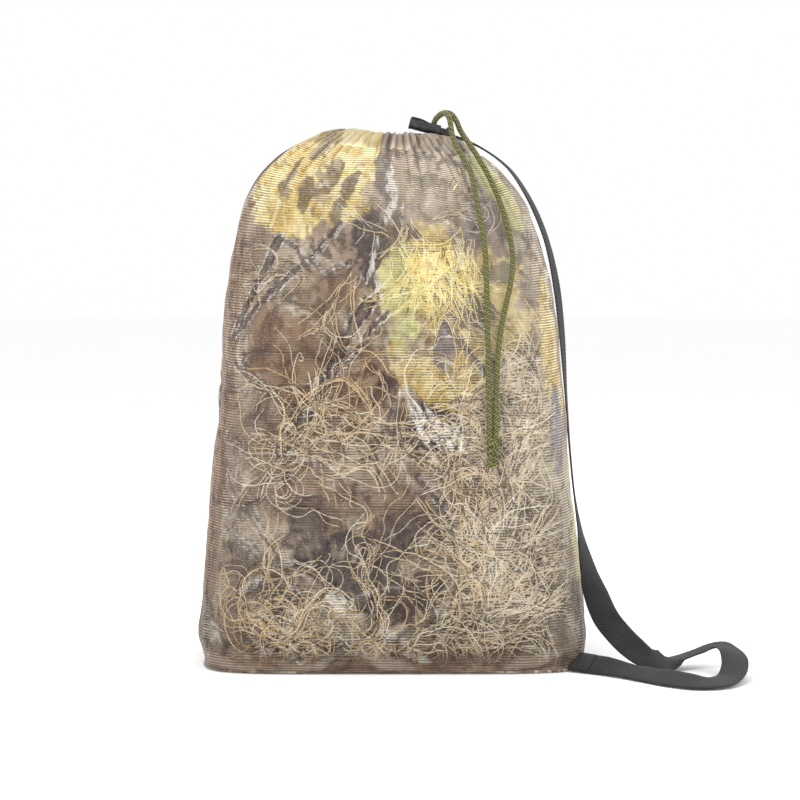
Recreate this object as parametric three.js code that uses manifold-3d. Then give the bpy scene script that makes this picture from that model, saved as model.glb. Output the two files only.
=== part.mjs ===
// A drawstring carry bag of printed camouflage mesh with a ghillie suit packed in it.
// Millimetres, +Z up. The origin is on the ground under the middle of the bag. The front faces -Y.

import * as THREE from 'three';
import { mergeVertices } from 'three/addons/utils/BufferGeometryUtils.js';
import Module from 'manifold-3d';

const wasm = await Module();
wasm.setup();

// ---------------------------------------------------------------- driving dimensions

const BAG_WIDTH = 300;
const BAG_DEPTH = 200;
const BAG_HEIGHT = 414;
const MOUTH_WIDTH = 76;
const MOUTH_DEPTH = 44;
const SLUMP = 6;                   // how far the packed bag settles to its left
const CLOTH = 1.2;                 // the mesh cloth with its folds
const BASE_THICKNESS = 1.5;
const SEAM_WIDTH = 6;
const SEAM_PROUD = 0.5;
const GAP = 0.3;                   // between pieces that touch
const PACKING_GAP = 0.5;           // between the packed clothes and what is around them

const CASING_DROP = 5.5;           // from the bag's top down to the middle of the slanted casing's top
const CASING_DEPTH = 13;
const CASING_TILT = THREE.MathUtils.degToRad(4);
const LOOP_INSET_SIDES = 9;        // from the mouth's edge in to the drawcord's loop
const LOOP_INSET_FRONT = 6;
const LOOP_DROP = 6.3;             // from the casing's top down to the drawcord
const MOUTH_HOLE_WALL = 3.4;       // cloth between the drawcord's tunnel and the mouth's hole

const CORD = 4.5;
const CORD_CLEARANCE = 0.8;
const CORD_SEPARATION = 0.9;       // between the two cords where they pass through the lock
const LOOP_GAP_ANGLE = -20;        // where on the loop the cords leave it, in degrees
const NECK_LENGTH = 9;             // from the loop up to the lock

const LOCK_TILT = THREE.MathUtils.degToRad(15);
const LOCK_LENGTH = 24;
const LOCK_HEIGHT = 8;
const LOCK_WALL = 1.2;
const LOCK_END_WALL = 3;
const LOCK_ROUNDING = 2.6;
const BORE_FROM_MIDDLE = 6;        // the cords' hole, from the barrel's middle towards its open end
const BORE_CLEARANCE = 0.35;
const PLUNGER_TRAVEL = 4;
const PLUNGER_CLEARANCE = 0.3;
const PLUNGER_SIDE_WALL = 1.2;     // of the plunger, beside its hole
const PLUNGER_SHOULDER = 3.2;      // from the plunger's hole to its inner end
const HEAD_THICKNESS = 3;
const SPRING_WIRE = 0.8;
const SPRING_DIAMETER = 4.4;
const SPRING_TURNS = 4;

const STRAP_WIDTH = 20;
const STRAP_THICKNESS = 1.6;
const STRAP_END_LENGTH = 14;
const STRAP_END_THICKNESS = 3.2;
const STRAP_TOP_DEPTH = 16;        // of the band's upper end, behind the mouth's middle
const STRAP_CORNER_HEIGHT = 7;     // of the band's lower end
const STRAP_CORNER_ANGLE = THREE.MathUtils.degToRad(-35.5);

const TROUSERS_TOP = 125;
const JACKET_TOP = 238;

const KNOT_WIDTH = 11;
const KNOT_LENGTH = 17;

const casingTop = BAG_HEIGHT - CASING_DROP;
const loopHalfWidth = MOUTH_WIDTH / 2 - LOOP_INSET_SIDES;
const loopHalfDepth = MOUTH_DEPTH / 2 - LOOP_INSET_FRONT;
const cordSpacing = CORD + CORD_SEPARATION;

// ---------------------------------------------------------------- materials

function material(color, roughness, metalness = 0) {
  return new THREE.MeshStandardMaterial({ color, roughness, metalness });
}

const meshCloth = material(0x8d7c58, 0.9);
const seamTape = material(0x5b4a36, 0.9);
const leafCloth = material(0x6f6243, 0.95);
const strawThread = material(0xc2a66c, 0.85);
const goldThread = material(0xc9a83e, 0.85);
const oliveCord = material(0x4d5a24, 0.8);
const blackPlastic = material(0x17181a, 0.45);
const springSteel = material(0xb8bcc2, 0.3, 1);
const webbing = material(0x35373a, 0.85);

// ---------------------------------------------------------------- solids

function solidOf(geometry) {
  const bare = geometry.clone();
  bare.deleteAttribute('normal');
  bare.deleteAttribute('uv');
  const merged = mergeVertices(bare, 1e-4);
  return new wasm.Manifold(new wasm.Mesh({
    numProp: 3,
    vertProperties: new Float32Array(merged.attributes.position.array),
    triVerts: new Uint32Array(merged.index.array),
  }));
}

function geometryOf(solid) {
  const mesh = solid.getMesh();
  const geometry = new THREE.BufferGeometry();
  geometry.setAttribute('position', new THREE.BufferAttribute(new Float32Array(mesh.vertProperties), 3));
  geometry.setIndex(new THREE.BufferAttribute(new Uint32Array(mesh.triVerts), 1));
  geometry.computeVertexNormals();
  return geometry;
}

// A closed skin over rings of points that run counter-clockwise seen from the last ring's side.
function loft(rings) {
  const count = rings[0].length;
  const middles = [rings[0], rings.at(-1)].map((ring) =>
    ring.reduce((sum, point) => sum.add(point), new THREE.Vector3()).divideScalar(count));
  const points = [...rings.flat(), ...middles];
  const index = [];
  for (let r = 0; r + 1 < rings.length; r += 1) {
    for (let i = 0; i < count; i += 1) {
      const a = r * count + i;
      const b = r * count + (i + 1) % count;
      index.push(a, b, b + count, a, b + count, a + count);
    }
  }
  const first = points.length - 2;
  const last = (rings.length - 1) * count;
  for (let i = 0; i < count; i += 1) {
    const next = (i + 1) % count;
    index.push(first, next, i);
    index.push(first + 1, last + i, last + next);
  }
  const geometry = new THREE.BufferGeometry().setFromPoints(points);
  geometry.setIndex(index);
  geometry.computeVertexNormals();
  return geometry;
}

function ellipseRing(halfWidth, halfDepth, height, count = 20) {
  return Array.from({ length: count }, (_, i) => {
    const angle = (i / count) * 2 * Math.PI;
    return new THREE.Vector3(halfWidth * Math.cos(angle), halfDepth * Math.sin(angle), height);
  });
}

function extrudeAlong(path, steps, sides, radius) {
  const shape = new THREE.Shape();
  for (let i = 0; i < sides; i += 1) {
    const angle = (i / sides) * 2 * Math.PI;
    const draw = i === 0 ? 'moveTo' : 'lineTo';
    shape[draw](radius * Math.cos(angle), radius * Math.sin(angle));
  }
  return new THREE.ExtrudeGeometry(shape, { steps, extrudePath: path });
}

function cylinderBetween(low, high, radius, sides = 16) {
  const geometry = new THREE.CylinderGeometry(radius, radius, high.distanceTo(low), sides);
  const turn = new THREE.Quaternion().setFromUnitVectors(
    new THREE.Vector3(0, 1, 0), high.clone().sub(low).normalize());
  geometry.applyQuaternion(turn);
  geometry.translate(...low.clone().add(high).multiplyScalar(0.5).toArray());
  return geometry;
}

function block(low, high) {
  const geometry = new THREE.BoxGeometry(high[0] - low[0], high[1] - low[1], high[2] - low[2]);
  geometry.translate((low[0] + high[0]) / 2, (low[1] + high[1]) / 2, (low[2] + high[2]) / 2);
  return geometry;
}

// ---------------------------------------------------------------- the bag's outline

// height share, width and depth shares from the mouth's size to the full size, slump share, corner power
const OUTLINE = [
  [0.00, 0.970, 0.90, 0.00, 6.0],
  [0.04, 1.000, 0.95, 0.00, 5.0],
  [0.12, 0.970, 0.99, 0.20, 3.6],
  [0.25, 0.935, 1.00, 0.35, 3.0],
  [0.45, 0.870, 0.96, 0.25, 2.7],
  [0.59, 0.830, 0.88, 0.40, 2.6],
  [0.70, 0.790, 0.75, 0.50, 2.6],
  [0.82, 0.690, 0.55, 0.90, 2.5],
  [0.87, 0.620, 0.43, 1.00, 2.5],
  [0.92, 0.490, 0.29, 0.70, 2.4],
  [0.96, 0.310, 0.17, 0.60, 2.3],
  [1.00, 0.000, 0.00, 0.00, 2.2],
];
const SECTION_POINTS = 28;

function outlineAt(height) {
  const share = height / BAG_HEIGHT;
  const upper = Math.max(1, OUTLINE.findIndex((station) => station[0] >= share));
  const [low, high] = [OUTLINE[upper - 1], OUTLINE[upper]];
  const part = (share - low[0]) / (high[0] - low[0]);
  return low.map((value, column) => THREE.MathUtils.lerp(value, high[column], part));
}

// The bag's section at a height, drawn in from the outer face by an inset.
function sectionSizes(height, inset) {
  const [, widthShare, depthShare, slumpShare, power] = outlineAt(height);
  return {
    halfWidth: THREE.MathUtils.lerp(MOUTH_WIDTH, BAG_WIDTH, widthShare) / 2 - inset,
    halfDepth: THREE.MathUtils.lerp(MOUTH_DEPTH, BAG_DEPTH, depthShare) / 2 - inset,
    middle: -slumpShare * SLUMP,
    power,
  };
}

function sectionPoint(height, angle, inset) {
  const { halfWidth, halfDepth, middle, power } = sectionSizes(height, inset);
  const [cos, sin] = [Math.cos(angle), Math.sin(angle)];
  return new THREE.Vector3(
    middle + halfWidth * Math.sign(cos) * Math.abs(cos) ** (2 / power),
    halfDepth * Math.sign(sin) * Math.abs(sin) ** (2 / power),
    height,
  );
}

function sectionAt(height, inset) {
  return Array.from({ length: SECTION_POINTS }, (_, i) =>
    sectionPoint(height, ((i + 0.5) / SECTION_POINTS) * 2 * Math.PI, inset));
}

function bagBody(low, high, inset) {
  const between = OUTLINE.map((station) => station[0] * BAG_HEIGHT)
    .filter((height) => height > low + 1 && height < high - 1);
  return solidOf(loft([low, ...between, high].map((height) => sectionAt(height, inset))));
}

// ---------------------------------------------------------------- the gathered casing's frame

const casingFrame = new THREE.Matrix4().makeRotationY(CASING_TILT).setPosition(0, 0, casingTop);
const FAR = 400;

// The space between two planes that lie parallel to the casing's top, at these heights over it.
function casingSlab(low, high) {
  return solidOf(block([-FAR, -FAR, low], [FAR, FAR, high]).applyMatrix4(casingFrame));
}

class LoopPath extends THREE.Curve {
  constructor(fromDegrees, toDegrees) {
    super();
    this.from = THREE.MathUtils.degToRad(fromDegrees);
    this.to = THREE.MathUtils.degToRad(toDegrees);
  }

  getPoint(t, target = new THREE.Vector3()) {
    const angle = THREE.MathUtils.lerp(this.from, this.to, t);
    return target.set(loopHalfWidth * Math.cos(angle), loopHalfDepth * Math.sin(angle), -LOOP_DROP)
      .applyMatrix4(casingFrame);
  }
}

// ---------------------------------------------------------------- the lock's frame

const ringGap = new LoopPath(LOOP_GAP_ANGLE, LOOP_GAP_ANGLE).getPoint(0);
const lockFrame = new THREE.Matrix4().makeRotationY(LOCK_TILT);
const lockMiddle = new THREE.Vector3(-BORE_FROM_MIDDLE, 0, NECK_LENGTH + LOCK_HEIGHT / 2)
  .applyMatrix4(lockFrame).add(ringGap);
lockFrame.setPosition(lockMiddle);

function inLock(x, y, z) {
  return new THREE.Vector3(x, y, z).applyMatrix4(lockFrame);
}

const CORD_SIDES = { a: -cordSpacing / 2, b: cordSpacing / 2 };
const NECK_FOOT = -LOCK_HEIGHT / 2 - NECK_LENGTH - CORD / 2;

// ---------------------------------------------------------------- the object

const carryBag = new THREE.Group();

function add(name, geometry, finish, parent = carryBag) {
  const mesh = new THREE.Mesh(geometry, finish);
  mesh.name = name;
  parent.add(mesh);
  return mesh;
}

// ---- cloth of the bag

const panelFoot = BASE_THICKNESS + GAP;
const outerBody = bagBody(panelFoot, BAG_HEIGHT, 0);
const innerBody = bagBody(0, BAG_HEIGHT, CLOTH);
const belowCasing = casingSlab(-FAR * 2, -CASING_DEPTH - GAP);
const skin = outerBody.subtract(innerBody).intersect(belowCasing);
const halfSeam = SEAM_WIDTH / 2;

add('bag_front_panel',
  geometryOf(skin.intersect(solidOf(block([-FAR, -FAR, 0], [FAR, -halfSeam - GAP, FAR * 2])))), meshCloth);
add('bag_back_panel',
  geometryOf(skin.intersect(solidOf(block([-FAR, halfSeam + GAP, 0], [FAR, FAR, FAR * 2])))), meshCloth);

const seamSkin = bagBody(panelFoot, BAG_HEIGHT, -SEAM_PROUD).subtract(innerBody).intersect(belowCasing);
for (const [name, low, high] of [['side_seam_left', -FAR, 0], ['side_seam_right', 0, FAR]]) {
  const band = solidOf(block([low, -halfSeam, 0], [high, halfSeam, FAR * 2]));
  add(name, geometryOf(seamSkin.intersect(band)), seamTape);
}

add('bag_base_panel', loft([sectionAt(0, 0), sectionAt(BASE_THICKNESS, 0)]), meshCloth);

// ---- gathered mouth with the drawcord's loop in it

const tunnelRadius = CORD / 2 + CORD_CLEARANCE;
const holeShrink = tunnelRadius + MOUTH_HOLE_WALL;
const mouthHole = loft([
  ellipseRing(loopHalfWidth * 2, loopHalfDepth * 1.5, -CASING_DEPTH - 1),
  ellipseRing(loopHalfWidth - holeShrink, loopHalfDepth - holeShrink, -LOOP_DROP - tunnelRadius - 1.4),
  ellipseRing(loopHalfWidth - holeShrink, loopHalfDepth - holeShrink, 1),
]).applyMatrix4(casingFrame);
const tunnel = extrudeAlong(new LoopPath(0, 358), 32, 8, tunnelRadius);

function neck(side, radius, foot, top) {
  const [low, high] = [inLock(BORE_FROM_MIDDLE, side, foot), inLock(BORE_FROM_MIDDLE, side, top)];
  return cylinderBetween(low, high, radius, 12);
}

let casing = bagBody(BAG_HEIGHT * 0.8, BAG_HEIGHT, 0).intersect(casingSlab(-CASING_DEPTH, 0));
casing = casing.subtract(solidOf(mouthHole)).subtract(solidOf(tunnel));
for (const side of Object.values(CORD_SIDES)) {
  casing = casing.subtract(solidOf(neck(side, tunnelRadius, NECK_FOOT - CORD_CLEARANCE, 0)));
}
add('mouth_casing', geometryOf(casing), meshCloth);

// Where the loop stops beside a neck, going round from the gap in whole degrees.
function loopEndAngle(side, step) {
  const neckMiddle = inLock(BORE_FROM_MIDDLE, side, NECK_FOOT + CORD / 2);
  let angle = LOOP_GAP_ANGLE;
  let room = 0;
  while (room < CORD / 2 + CORD_CLEARANCE) {
    angle += step;
    const nearby = new LoopPath(angle - step, angle + step);
    room = nearby.getPoint(0.5).sub(neckMiddle).dot(nearby.getTangent(0.5));
  }
  return angle;
}

const LOOP_STEPS = 26;
const loopPath = new LoopPath(loopEndAngle(CORD_SIDES.b, 1), loopEndAngle(CORD_SIDES.a, -1) + 360);
add('drawcord_loop', extrudeAlong(loopPath, LOOP_STEPS, 8, CORD / 2), oliveCord);
for (const [letter, side] of Object.entries(CORD_SIDES)) {
  add(`drawcord_neck_${letter}`, neck(side, CORD / 2, NECK_FOOT, LOCK_HEIGHT / 2), oliveCord);
}

// ---- the suit's clothes, packed one on the other

const clothesInset = CLOTH + PACKING_GAP;
const clothesTop = casingSlab(-FAR * 2, -CASING_DEPTH - GAP - PACKING_GAP);
const spans = {
  trousers_bundle: [BASE_THICKNESS + PACKING_GAP, TROUSERS_TOP],
  jacket_bundle: [TROUSERS_TOP + PACKING_GAP, JACKET_TOP],
  hood_bundle: [JACKET_TOP + PACKING_GAP, casingTop - CASING_DEPTH],
  rifle_wrap_bundle: [JACKET_TOP + PACKING_GAP, casingTop - CASING_DEPTH],
};
const upperPack = bagBody(spans.hood_bundle[0], BAG_HEIGHT, clothesInset).intersect(clothesTop);
const clothes = {
  trousers_bundle: bagBody(...spans.trousers_bundle, clothesInset),
  jacket_bundle: bagBody(...spans.jacket_bundle, clothesInset),
  hood_bundle: upperPack.intersect(solidOf(block([-FAR, -FAR, 0], [FAR, 0, FAR * 2]))),
  rifle_wrap_bundle: upperPack.intersect(solidOf(block([-FAR, PACKING_GAP, 0], [FAR, FAR, FAR * 2]))),
};

// ---- tufts of thread on the clothes: the cloth they hang on, the side they face, their place as shares
// of its half width and of its height, half their width and half their height
const TUFT_DEPTH = 9;
const FRONT = -1;
const BACK = 1;
const TUFTS = [
  ['trousers_tuft_left', 'trousers_bundle', FRONT, -0.57, 0.36, 40, 36, strawThread],
  ['trousers_tuft_middle', 'trousers_bundle', FRONT, -0.04, 0.34, 34, 34, strawThread],
  ['trousers_tuft_right', 'trousers_bundle', FRONT, 0.52, 0.52, 38, 48, strawThread],
  ['trousers_tuft_back', 'trousers_bundle', BACK, 0.14, 0.5, 46, 38, strawThread],
  ['jacket_tuft_left', 'jacket_bundle', FRONT, -0.57, 0.45, 40, 34, strawThread],
  ['jacket_tuft_middle', 'jacket_bundle', FRONT, -0.04, 0.4, 28, 30, strawThread],
  ['jacket_tuft_right', 'jacket_bundle', FRONT, 0.47, 0.5, 36, 42, strawThread],
  ['jacket_tuft_back_left', 'jacket_bundle', BACK, -0.36, 0.52, 38, 34, strawThread],
  ['jacket_tuft_back_right', 'jacket_bundle', BACK, 0.35, 0.47, 34, 38, strawThread],
  ['hood_tuft_middle', 'hood_bundle', FRONT, 0.13, 0.33, 27, 36, goldThread],
  ['hood_tuft_left', 'hood_bundle', FRONT, -0.34, 0.29, 26, 30, strawThread],
  ['hood_tuft_top', 'hood_bundle', FRONT, 0.18, 0.73, 20, 20, strawThread],
  ['rifle_wrap_tuft', 'rifle_wrap_bundle', BACK, 0, 0.4, 42, 36, strawThread],
];

function tuftPlace(cloth, facing, acrossShare, riseShare) {
  const height = THREE.MathUtils.lerp(...spans[cloth], riseShare);
  const { halfWidth, halfDepth, middle, power } = sectionSizes(height, clothesInset);
  const depth = halfDepth * (1 - Math.abs(acrossShare) ** power) ** (1 / power);
  return new THREE.Vector3(middle + acrossShare * halfWidth, facing * depth, height);
}

function tuftBall(place, halfWidth, halfHeight, grow) {
  const ball = new THREE.SphereGeometry(1, 12, 8);
  ball.rotateX(Math.PI / 2);
  ball.scale(halfWidth + grow, TUFT_DEPTH + grow, halfHeight + grow);
  ball.translate(...place.toArray());
  return solidOf(ball);
}

for (const [name, cloth, facing, acrossShare, riseShare, halfWidth, halfHeight, thread] of TUFTS) {
  const place = tuftPlace(cloth, facing, acrossShare, riseShare);
  const tuft = clothes[cloth].intersect(tuftBall(place, halfWidth, halfHeight, 0));
  clothes[cloth] = clothes[cloth].subtract(tuftBall(place, halfWidth, halfHeight, GAP));
  add(name, geometryOf(tuft), thread);
}
for (const [name, solid] of Object.entries(clothes)) {
  add(name, geometryOf(solid), leafCloth);
}

// ---- cord lock: a barrel, a plunger that slides in it and the spring between them

const cordLock = new THREE.Group();
cordLock.applyMatrix4(lockFrame);
carryBag.add(cordLock);

// A bar with rounded long edges along X.
function roundedBar(fromX, toX, width, height, rounding) {
  const [w, h, r] = [width / 2, height / 2, Math.min(rounding, height / 2 - 0.05)];
  const shape = new THREE.Shape();
  shape.moveTo(-w + r, -h);
  shape.lineTo(w - r, -h);
  shape.absarc(w - r, -h + r, r, -Math.PI / 2, 0);
  shape.absarc(w - r, h - r, r, 0, Math.PI / 2);
  shape.absarc(-w + r, h - r, r, Math.PI / 2, Math.PI);
  shape.absarc(-w + r, -h + r, r, Math.PI, Math.PI * 1.5);
  const bar = new THREE.ExtrudeGeometry(shape, { depth: toX - fromX, bevelEnabled: false, curveSegments: 3 });
  bar.rotateX(Math.PI / 2);
  bar.rotateZ(Math.PI / 2);
  bar.translate(fromX, 0, 0);
  return bar;
}

// A hole with round ends for the two cords, through the lock's height.
function cordHole(fromX, toX, reach) {
  const corner = CORD / 2 + BORE_CLEARANCE;
  const endY = cordSpacing / 2;
  const shape = new THREE.Shape();
  shape.absarc(toX - corner, endY, corner, 0, Math.PI / 2);
  shape.absarc(fromX + corner, endY, corner, Math.PI / 2, Math.PI);
  shape.absarc(fromX + corner, -endY, corner, Math.PI, Math.PI * 1.5);
  shape.absarc(toX - corner, -endY, corner, Math.PI * 1.5, Math.PI * 2);
  const hole = new THREE.ExtrudeGeometry(shape, { depth: 2 * reach, bevelEnabled: false, curveSegments: 3 });
  hole.translate(0, 0, -reach);
  return hole;
}

const lockEnd = LOCK_LENGTH / 2;
const cavityFrom = -lockEnd + LOCK_END_WALL;
const plungerWidth = cordSpacing + CORD + 2 * (BORE_CLEARANCE + PLUNGER_SIDE_WALL);
const cavityWidth = plungerWidth + 2 * PLUNGER_CLEARANCE;
const lockWidth = cavityWidth + 2 * LOCK_WALL;
const cavityHeight = LOCK_HEIGHT - 2 * LOCK_WALL;
const boreFrom = BORE_FROM_MIDDLE - CORD / 2 - BORE_CLEARANCE;
const boreTo = BORE_FROM_MIDDLE + CORD / 2 + BORE_CLEARANCE;
const barrel = solidOf(roundedBar(-lockEnd, lockEnd, lockWidth, LOCK_HEIGHT, LOCK_ROUNDING))
  .subtract(solidOf(roundedBar(cavityFrom, lockEnd + 1, cavityWidth, cavityHeight, LOCK_ROUNDING - LOCK_WALL)))
  .subtract(solidOf(cordHole(boreFrom, boreTo, LOCK_HEIGHT)));
add('cord_lock_barrel', geometryOf(barrel), blackPlastic, cordLock);

const plungerHeight = cavityHeight - 2 * PLUNGER_CLEARANCE;
const plungerFrom = boreFrom - PLUNGER_SHOULDER;
const headFrom = lockEnd + PLUNGER_TRAVEL + PLUNGER_CLEARANCE;
const plunger = solidOf(roundedBar(plungerFrom, headFrom + 1, plungerWidth, plungerHeight, 1))
  .add(solidOf(roundedBar(headFrom, headFrom + HEAD_THICKNESS, lockWidth, LOCK_HEIGHT, LOCK_ROUNDING)))
  .subtract(solidOf(cordHole(boreFrom, boreTo + PLUNGER_TRAVEL, LOCK_HEIGHT)));
add('cord_lock_plunger', geometryOf(plunger), blackPlastic, cordLock);

class Helix extends THREE.Curve {
  getPoint(t, target = new THREE.Vector3()) {
    const radius = (SPRING_DIAMETER - SPRING_WIRE) / 2;
    const angle = t * SPRING_TURNS * 2 * Math.PI;
    const [from, to] = [cavityFrom + SPRING_WIRE / 2 + GAP, plungerFrom - SPRING_WIRE / 2 - GAP];
    return target.set(THREE.MathUtils.lerp(from, to, t), radius * Math.cos(angle), radius * Math.sin(angle));
  }
}
add('cord_lock_spring', extrudeAlong(new Helix(), SPRING_TURNS * 9, 5, SPRING_WIRE / 2), springSteel, cordLock);

// ---- the drawcord's two free tails and the knot at their ends

const TAIL_ROUTES = {
  a: [
    [35.1, -10.4, 422.7], [39.5, -15.5, 424.3], [42.6, -20.6, 420.8], [43.8, -23.2, 414.5], [44.8, -25, 408],
    [47.5, -30.5, 399.5], [52.5, -36.5, 389.5], [58, -42, 379.5], [62, -51.5, 361], [65, -59.5, 342.5],
    [68.5, -67, 320], [69.5, -74, 298], [70, -83, 261], [70.5, -87.5, 235], [71, -91, 209],
    [71.4, -94, 179],
  ],
  b: [
    [33.8, -3.6, 422.3], [38.6, -5.4, 425.4], [44.5, -8.2, 424.2], [48.6, -9.8, 418.5], [51.5, -12, 411.5],
    [56, -18.5, 404], [63, -29, 392.5], [72.5, -38.5, 375], [81, -47, 354], [86.5, -53, 335],
    [90, -60, 312.5], [87.5, -69.5, 290.5], [83.5, -75, 274], [80, -80.5, 257], [77.5, -85.5, 235],
    [76.5, -89.5, 209], [76, -93, 179],
  ],
};
const TAIL_STRAIGHT = 2;           // how far a tail leaves the lock in line with its hole
const CORD_STEP = 2.5;             // diameters between the rings of a cord

function cordTube(points, radius) {
  const path = new THREE.CatmullRomCurve3(points, false, 'centripetal');
  const steps = Math.ceil(path.getLength() / (CORD_STEP * radius * 2));
  return extrudeAlong(path, steps, 8, radius);
}

for (const [letter, side] of Object.entries(CORD_SIDES)) {
  const straight = [GAP, GAP + TAIL_STRAIGHT].map((reach) =>
    inLock(BORE_FROM_MIDDLE, side, LOCK_HEIGHT / 2 + reach));
  const route = TAIL_ROUTES[letter].map((point) => new THREE.Vector3(...point));
  add(`drawcord_tail_${letter}`, cordTube([...straight, ...route], CORD / 2), oliveCord);
}

const knotTop = new THREE.Vector3(73.6, -96.4, 179 - GAP);
const knotProfile = [
  [0, 0], [0.55, 0], [0.9, -0.2], [1, -0.42], [0.85, -0.62], [0.45, -0.74], [0.4, -0.97], [0, -1],
].map(([radiusShare, dropShare]) => new THREE.Vector2(radiusShare * KNOT_WIDTH / 2, dropShare * KNOT_LENGTH));
const knot = new THREE.LatheGeometry(knotProfile.reverse(), 12);
knot.rotateX(Math.PI / 2);
knot.translate(...knotTop.toArray());
add('drawcord_knot', knot, oliveCord);

// ---- shoulder strap: middle of the band, then the way from its inner to its outer edge

const STRAP_STATIONS = [
  [[33, 16, 408.1], [0, 1, 0]],
  [[43, 17, 408.8], [0.05, 1, -0.05]],
  [[56, 18, 405.5], [0.1, 1, -0.05]],
  [[74, 18, 396.5], [0.15, 1, 0]],
  [[91, 17, 383], [0.2, 1, 0]],
  [[103, 15, 366], [0.25, 1, 0]],
  [[113, 13, 346.5], [0.3, 1, -0.05]],
  [[121.5, 11, 323], [0.3, 1, -0.1]],
  [[128.5, 10, 290], [0.35, 1, -0.1]],
  [[133, 9, 250], [0.3, 1, -0.15]],
  [[136, 7, 205], [0.15, 1, -0.15]],
  [[139, 4, 162], [0.1, 1, -0.15]],
  [[142.5, 0, 126], [0.1, 1, -0.15]],
  [[146.5, -8, 99], [0.25, 1, -0.1]],
  [[152, -24, 70], [0.6, 0.8, 0.1]],
  [[156, -36, 54], [0.8, 0.5, 0.35]],
  [[162.5, -54, 37], [0.75, 0.25, 0.6]],
  [[170.5, -66, 27], [0.7, 0.35, 0.6]],
  [[179, -77, 19], [0.7, 0.4, 0.6]],
  [[190, -86, 11.5], [0.65, 0.6, 0.45]],
  [[201.5, -84, 9], [0.4, 0.85, 0.35]],
  [[214, -72, 8], [0, 1, 0]],
  [[227.5, -66, 11], [-0.05, 1, 0]],
  [[240, -68, 16], [-0.1, 1, 0]],
  [[248, -77, 18.5], [0.15, 1, 0]],
  [[253, -90, 17.5], [0.7, 0.7, -0.05]],
  [[254, -104, 14], [1, 0, -0.05]],
  [[251.5, -119, 9], [0.85, -0.5, -0.1]],
  [[246, -132, 5], [0.6, -0.8, -0.1]],
  [[235.5, -145, 4], [0.3, -0.95, -0.15]],
  [[221, -148, 4.5], [0.1, -0.95, -0.3]],
  [[205, -138, 5], [0, -0.95, -0.3]],
  [[189, -120, 4.5], [-0.1, -0.95, -0.25]],
  [[175.5, -105, 4.5], [-0.1, -0.95, -0.25]],
  [[164, -95, 5.5], [-0.1, -0.9, -0.4]],
  [[157, -90, 6], [-0.1, -0.85, -0.5]],
];
const STRAP_STEPS = 70;

// A flat band through stations, with its ends square to its run.
function band(stations, width, thickness, steps) {
  const middle = new THREE.CatmullRomCurve3(stations.map(([place]) => new THREE.Vector3(...place)));
  const across = new THREE.CatmullRomCurve3(stations.map(([, way]) => new THREE.Vector3(...way)));
  const rings = [];
  for (let step = 0; step <= steps; step += 1) {
    const t = step / steps;
    const run = middle.getTangent(t);
    const side = across.getPoint(t);
    side.addScaledVector(run, -side.dot(run)).normalize().multiplyScalar(width / 2);
    const up = side.clone().cross(run).normalize().multiplyScalar(thickness / 2);
    const point = middle.getPoint(t);
    rings.push([[1, -1], [-1, -1], [-1, 1], [1, 1]].map(([s, u]) =>
      point.clone().addScaledVector(side, s).addScaledVector(up, u)));
  }
  return loft(rings);
}

// The band's ends, folded double: one lies on the casing, the other is sewn into the bag's lower corner.
const endX = loopHalfWidth;
add('strap_end_top', block(
  [endX - STRAP_END_LENGTH, STRAP_TOP_DEPTH - STRAP_WIDTH / 2, GAP],
  [endX, STRAP_TOP_DEPTH + STRAP_WIDTH / 2, GAP + STRAP_END_THICKNESS],
).applyMatrix4(casingFrame), webbing);
const upperEnd = new THREE.Vector3(endX + GAP, STRAP_TOP_DEPTH, GAP + STRAP_END_THICKNESS / 2)
  .applyMatrix4(casingFrame);

const CORNER_WAY_OUT = new THREE.Vector3(0.83, -0.55, -0.05).normalize();
const CORNER_WAY_ACROSS = [-0.1, -0.85, -0.5];
const cornerSeat = sectionPoint(STRAP_CORNER_HEIGHT, STRAP_CORNER_ANGLE, 0);
function fromCorner(reach) {
  return cornerSeat.clone().addScaledVector(CORNER_WAY_OUT, reach).toArray();
}
const tabStations = [STRAP_END_LENGTH, 0, -STRAP_END_LENGTH / 2].map((reach) =>
  [fromCorner(reach), CORNER_WAY_ACROSS]);
const cornerTab = solidOf(band(tabStations, STRAP_WIDTH, STRAP_END_THICKNESS, 1));
add('strap_end_bottom', geometryOf(cornerTab.subtract(bagBody(0, BAG_HEIGHT, -GAP))), webbing);

const strapStations = [
  [upperEnd.toArray(), [0, 1, 0]],
  ...STRAP_STATIONS,
  [fromCorner(STRAP_END_LENGTH + GAP), CORNER_WAY_ACROSS],
];
add('shoulder_strap', band(strapStations, STRAP_WIDTH, STRAP_THICKNESS, STRAP_STEPS), webbing);

export default carryBag;
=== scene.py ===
# A camouflage carry bag of ribbed mesh with a thread-covered suit packed in it.
# Row frame: metres, origin on the ground under the bag's middle, +Z up, the bag's front faces -Y.
import math

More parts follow.
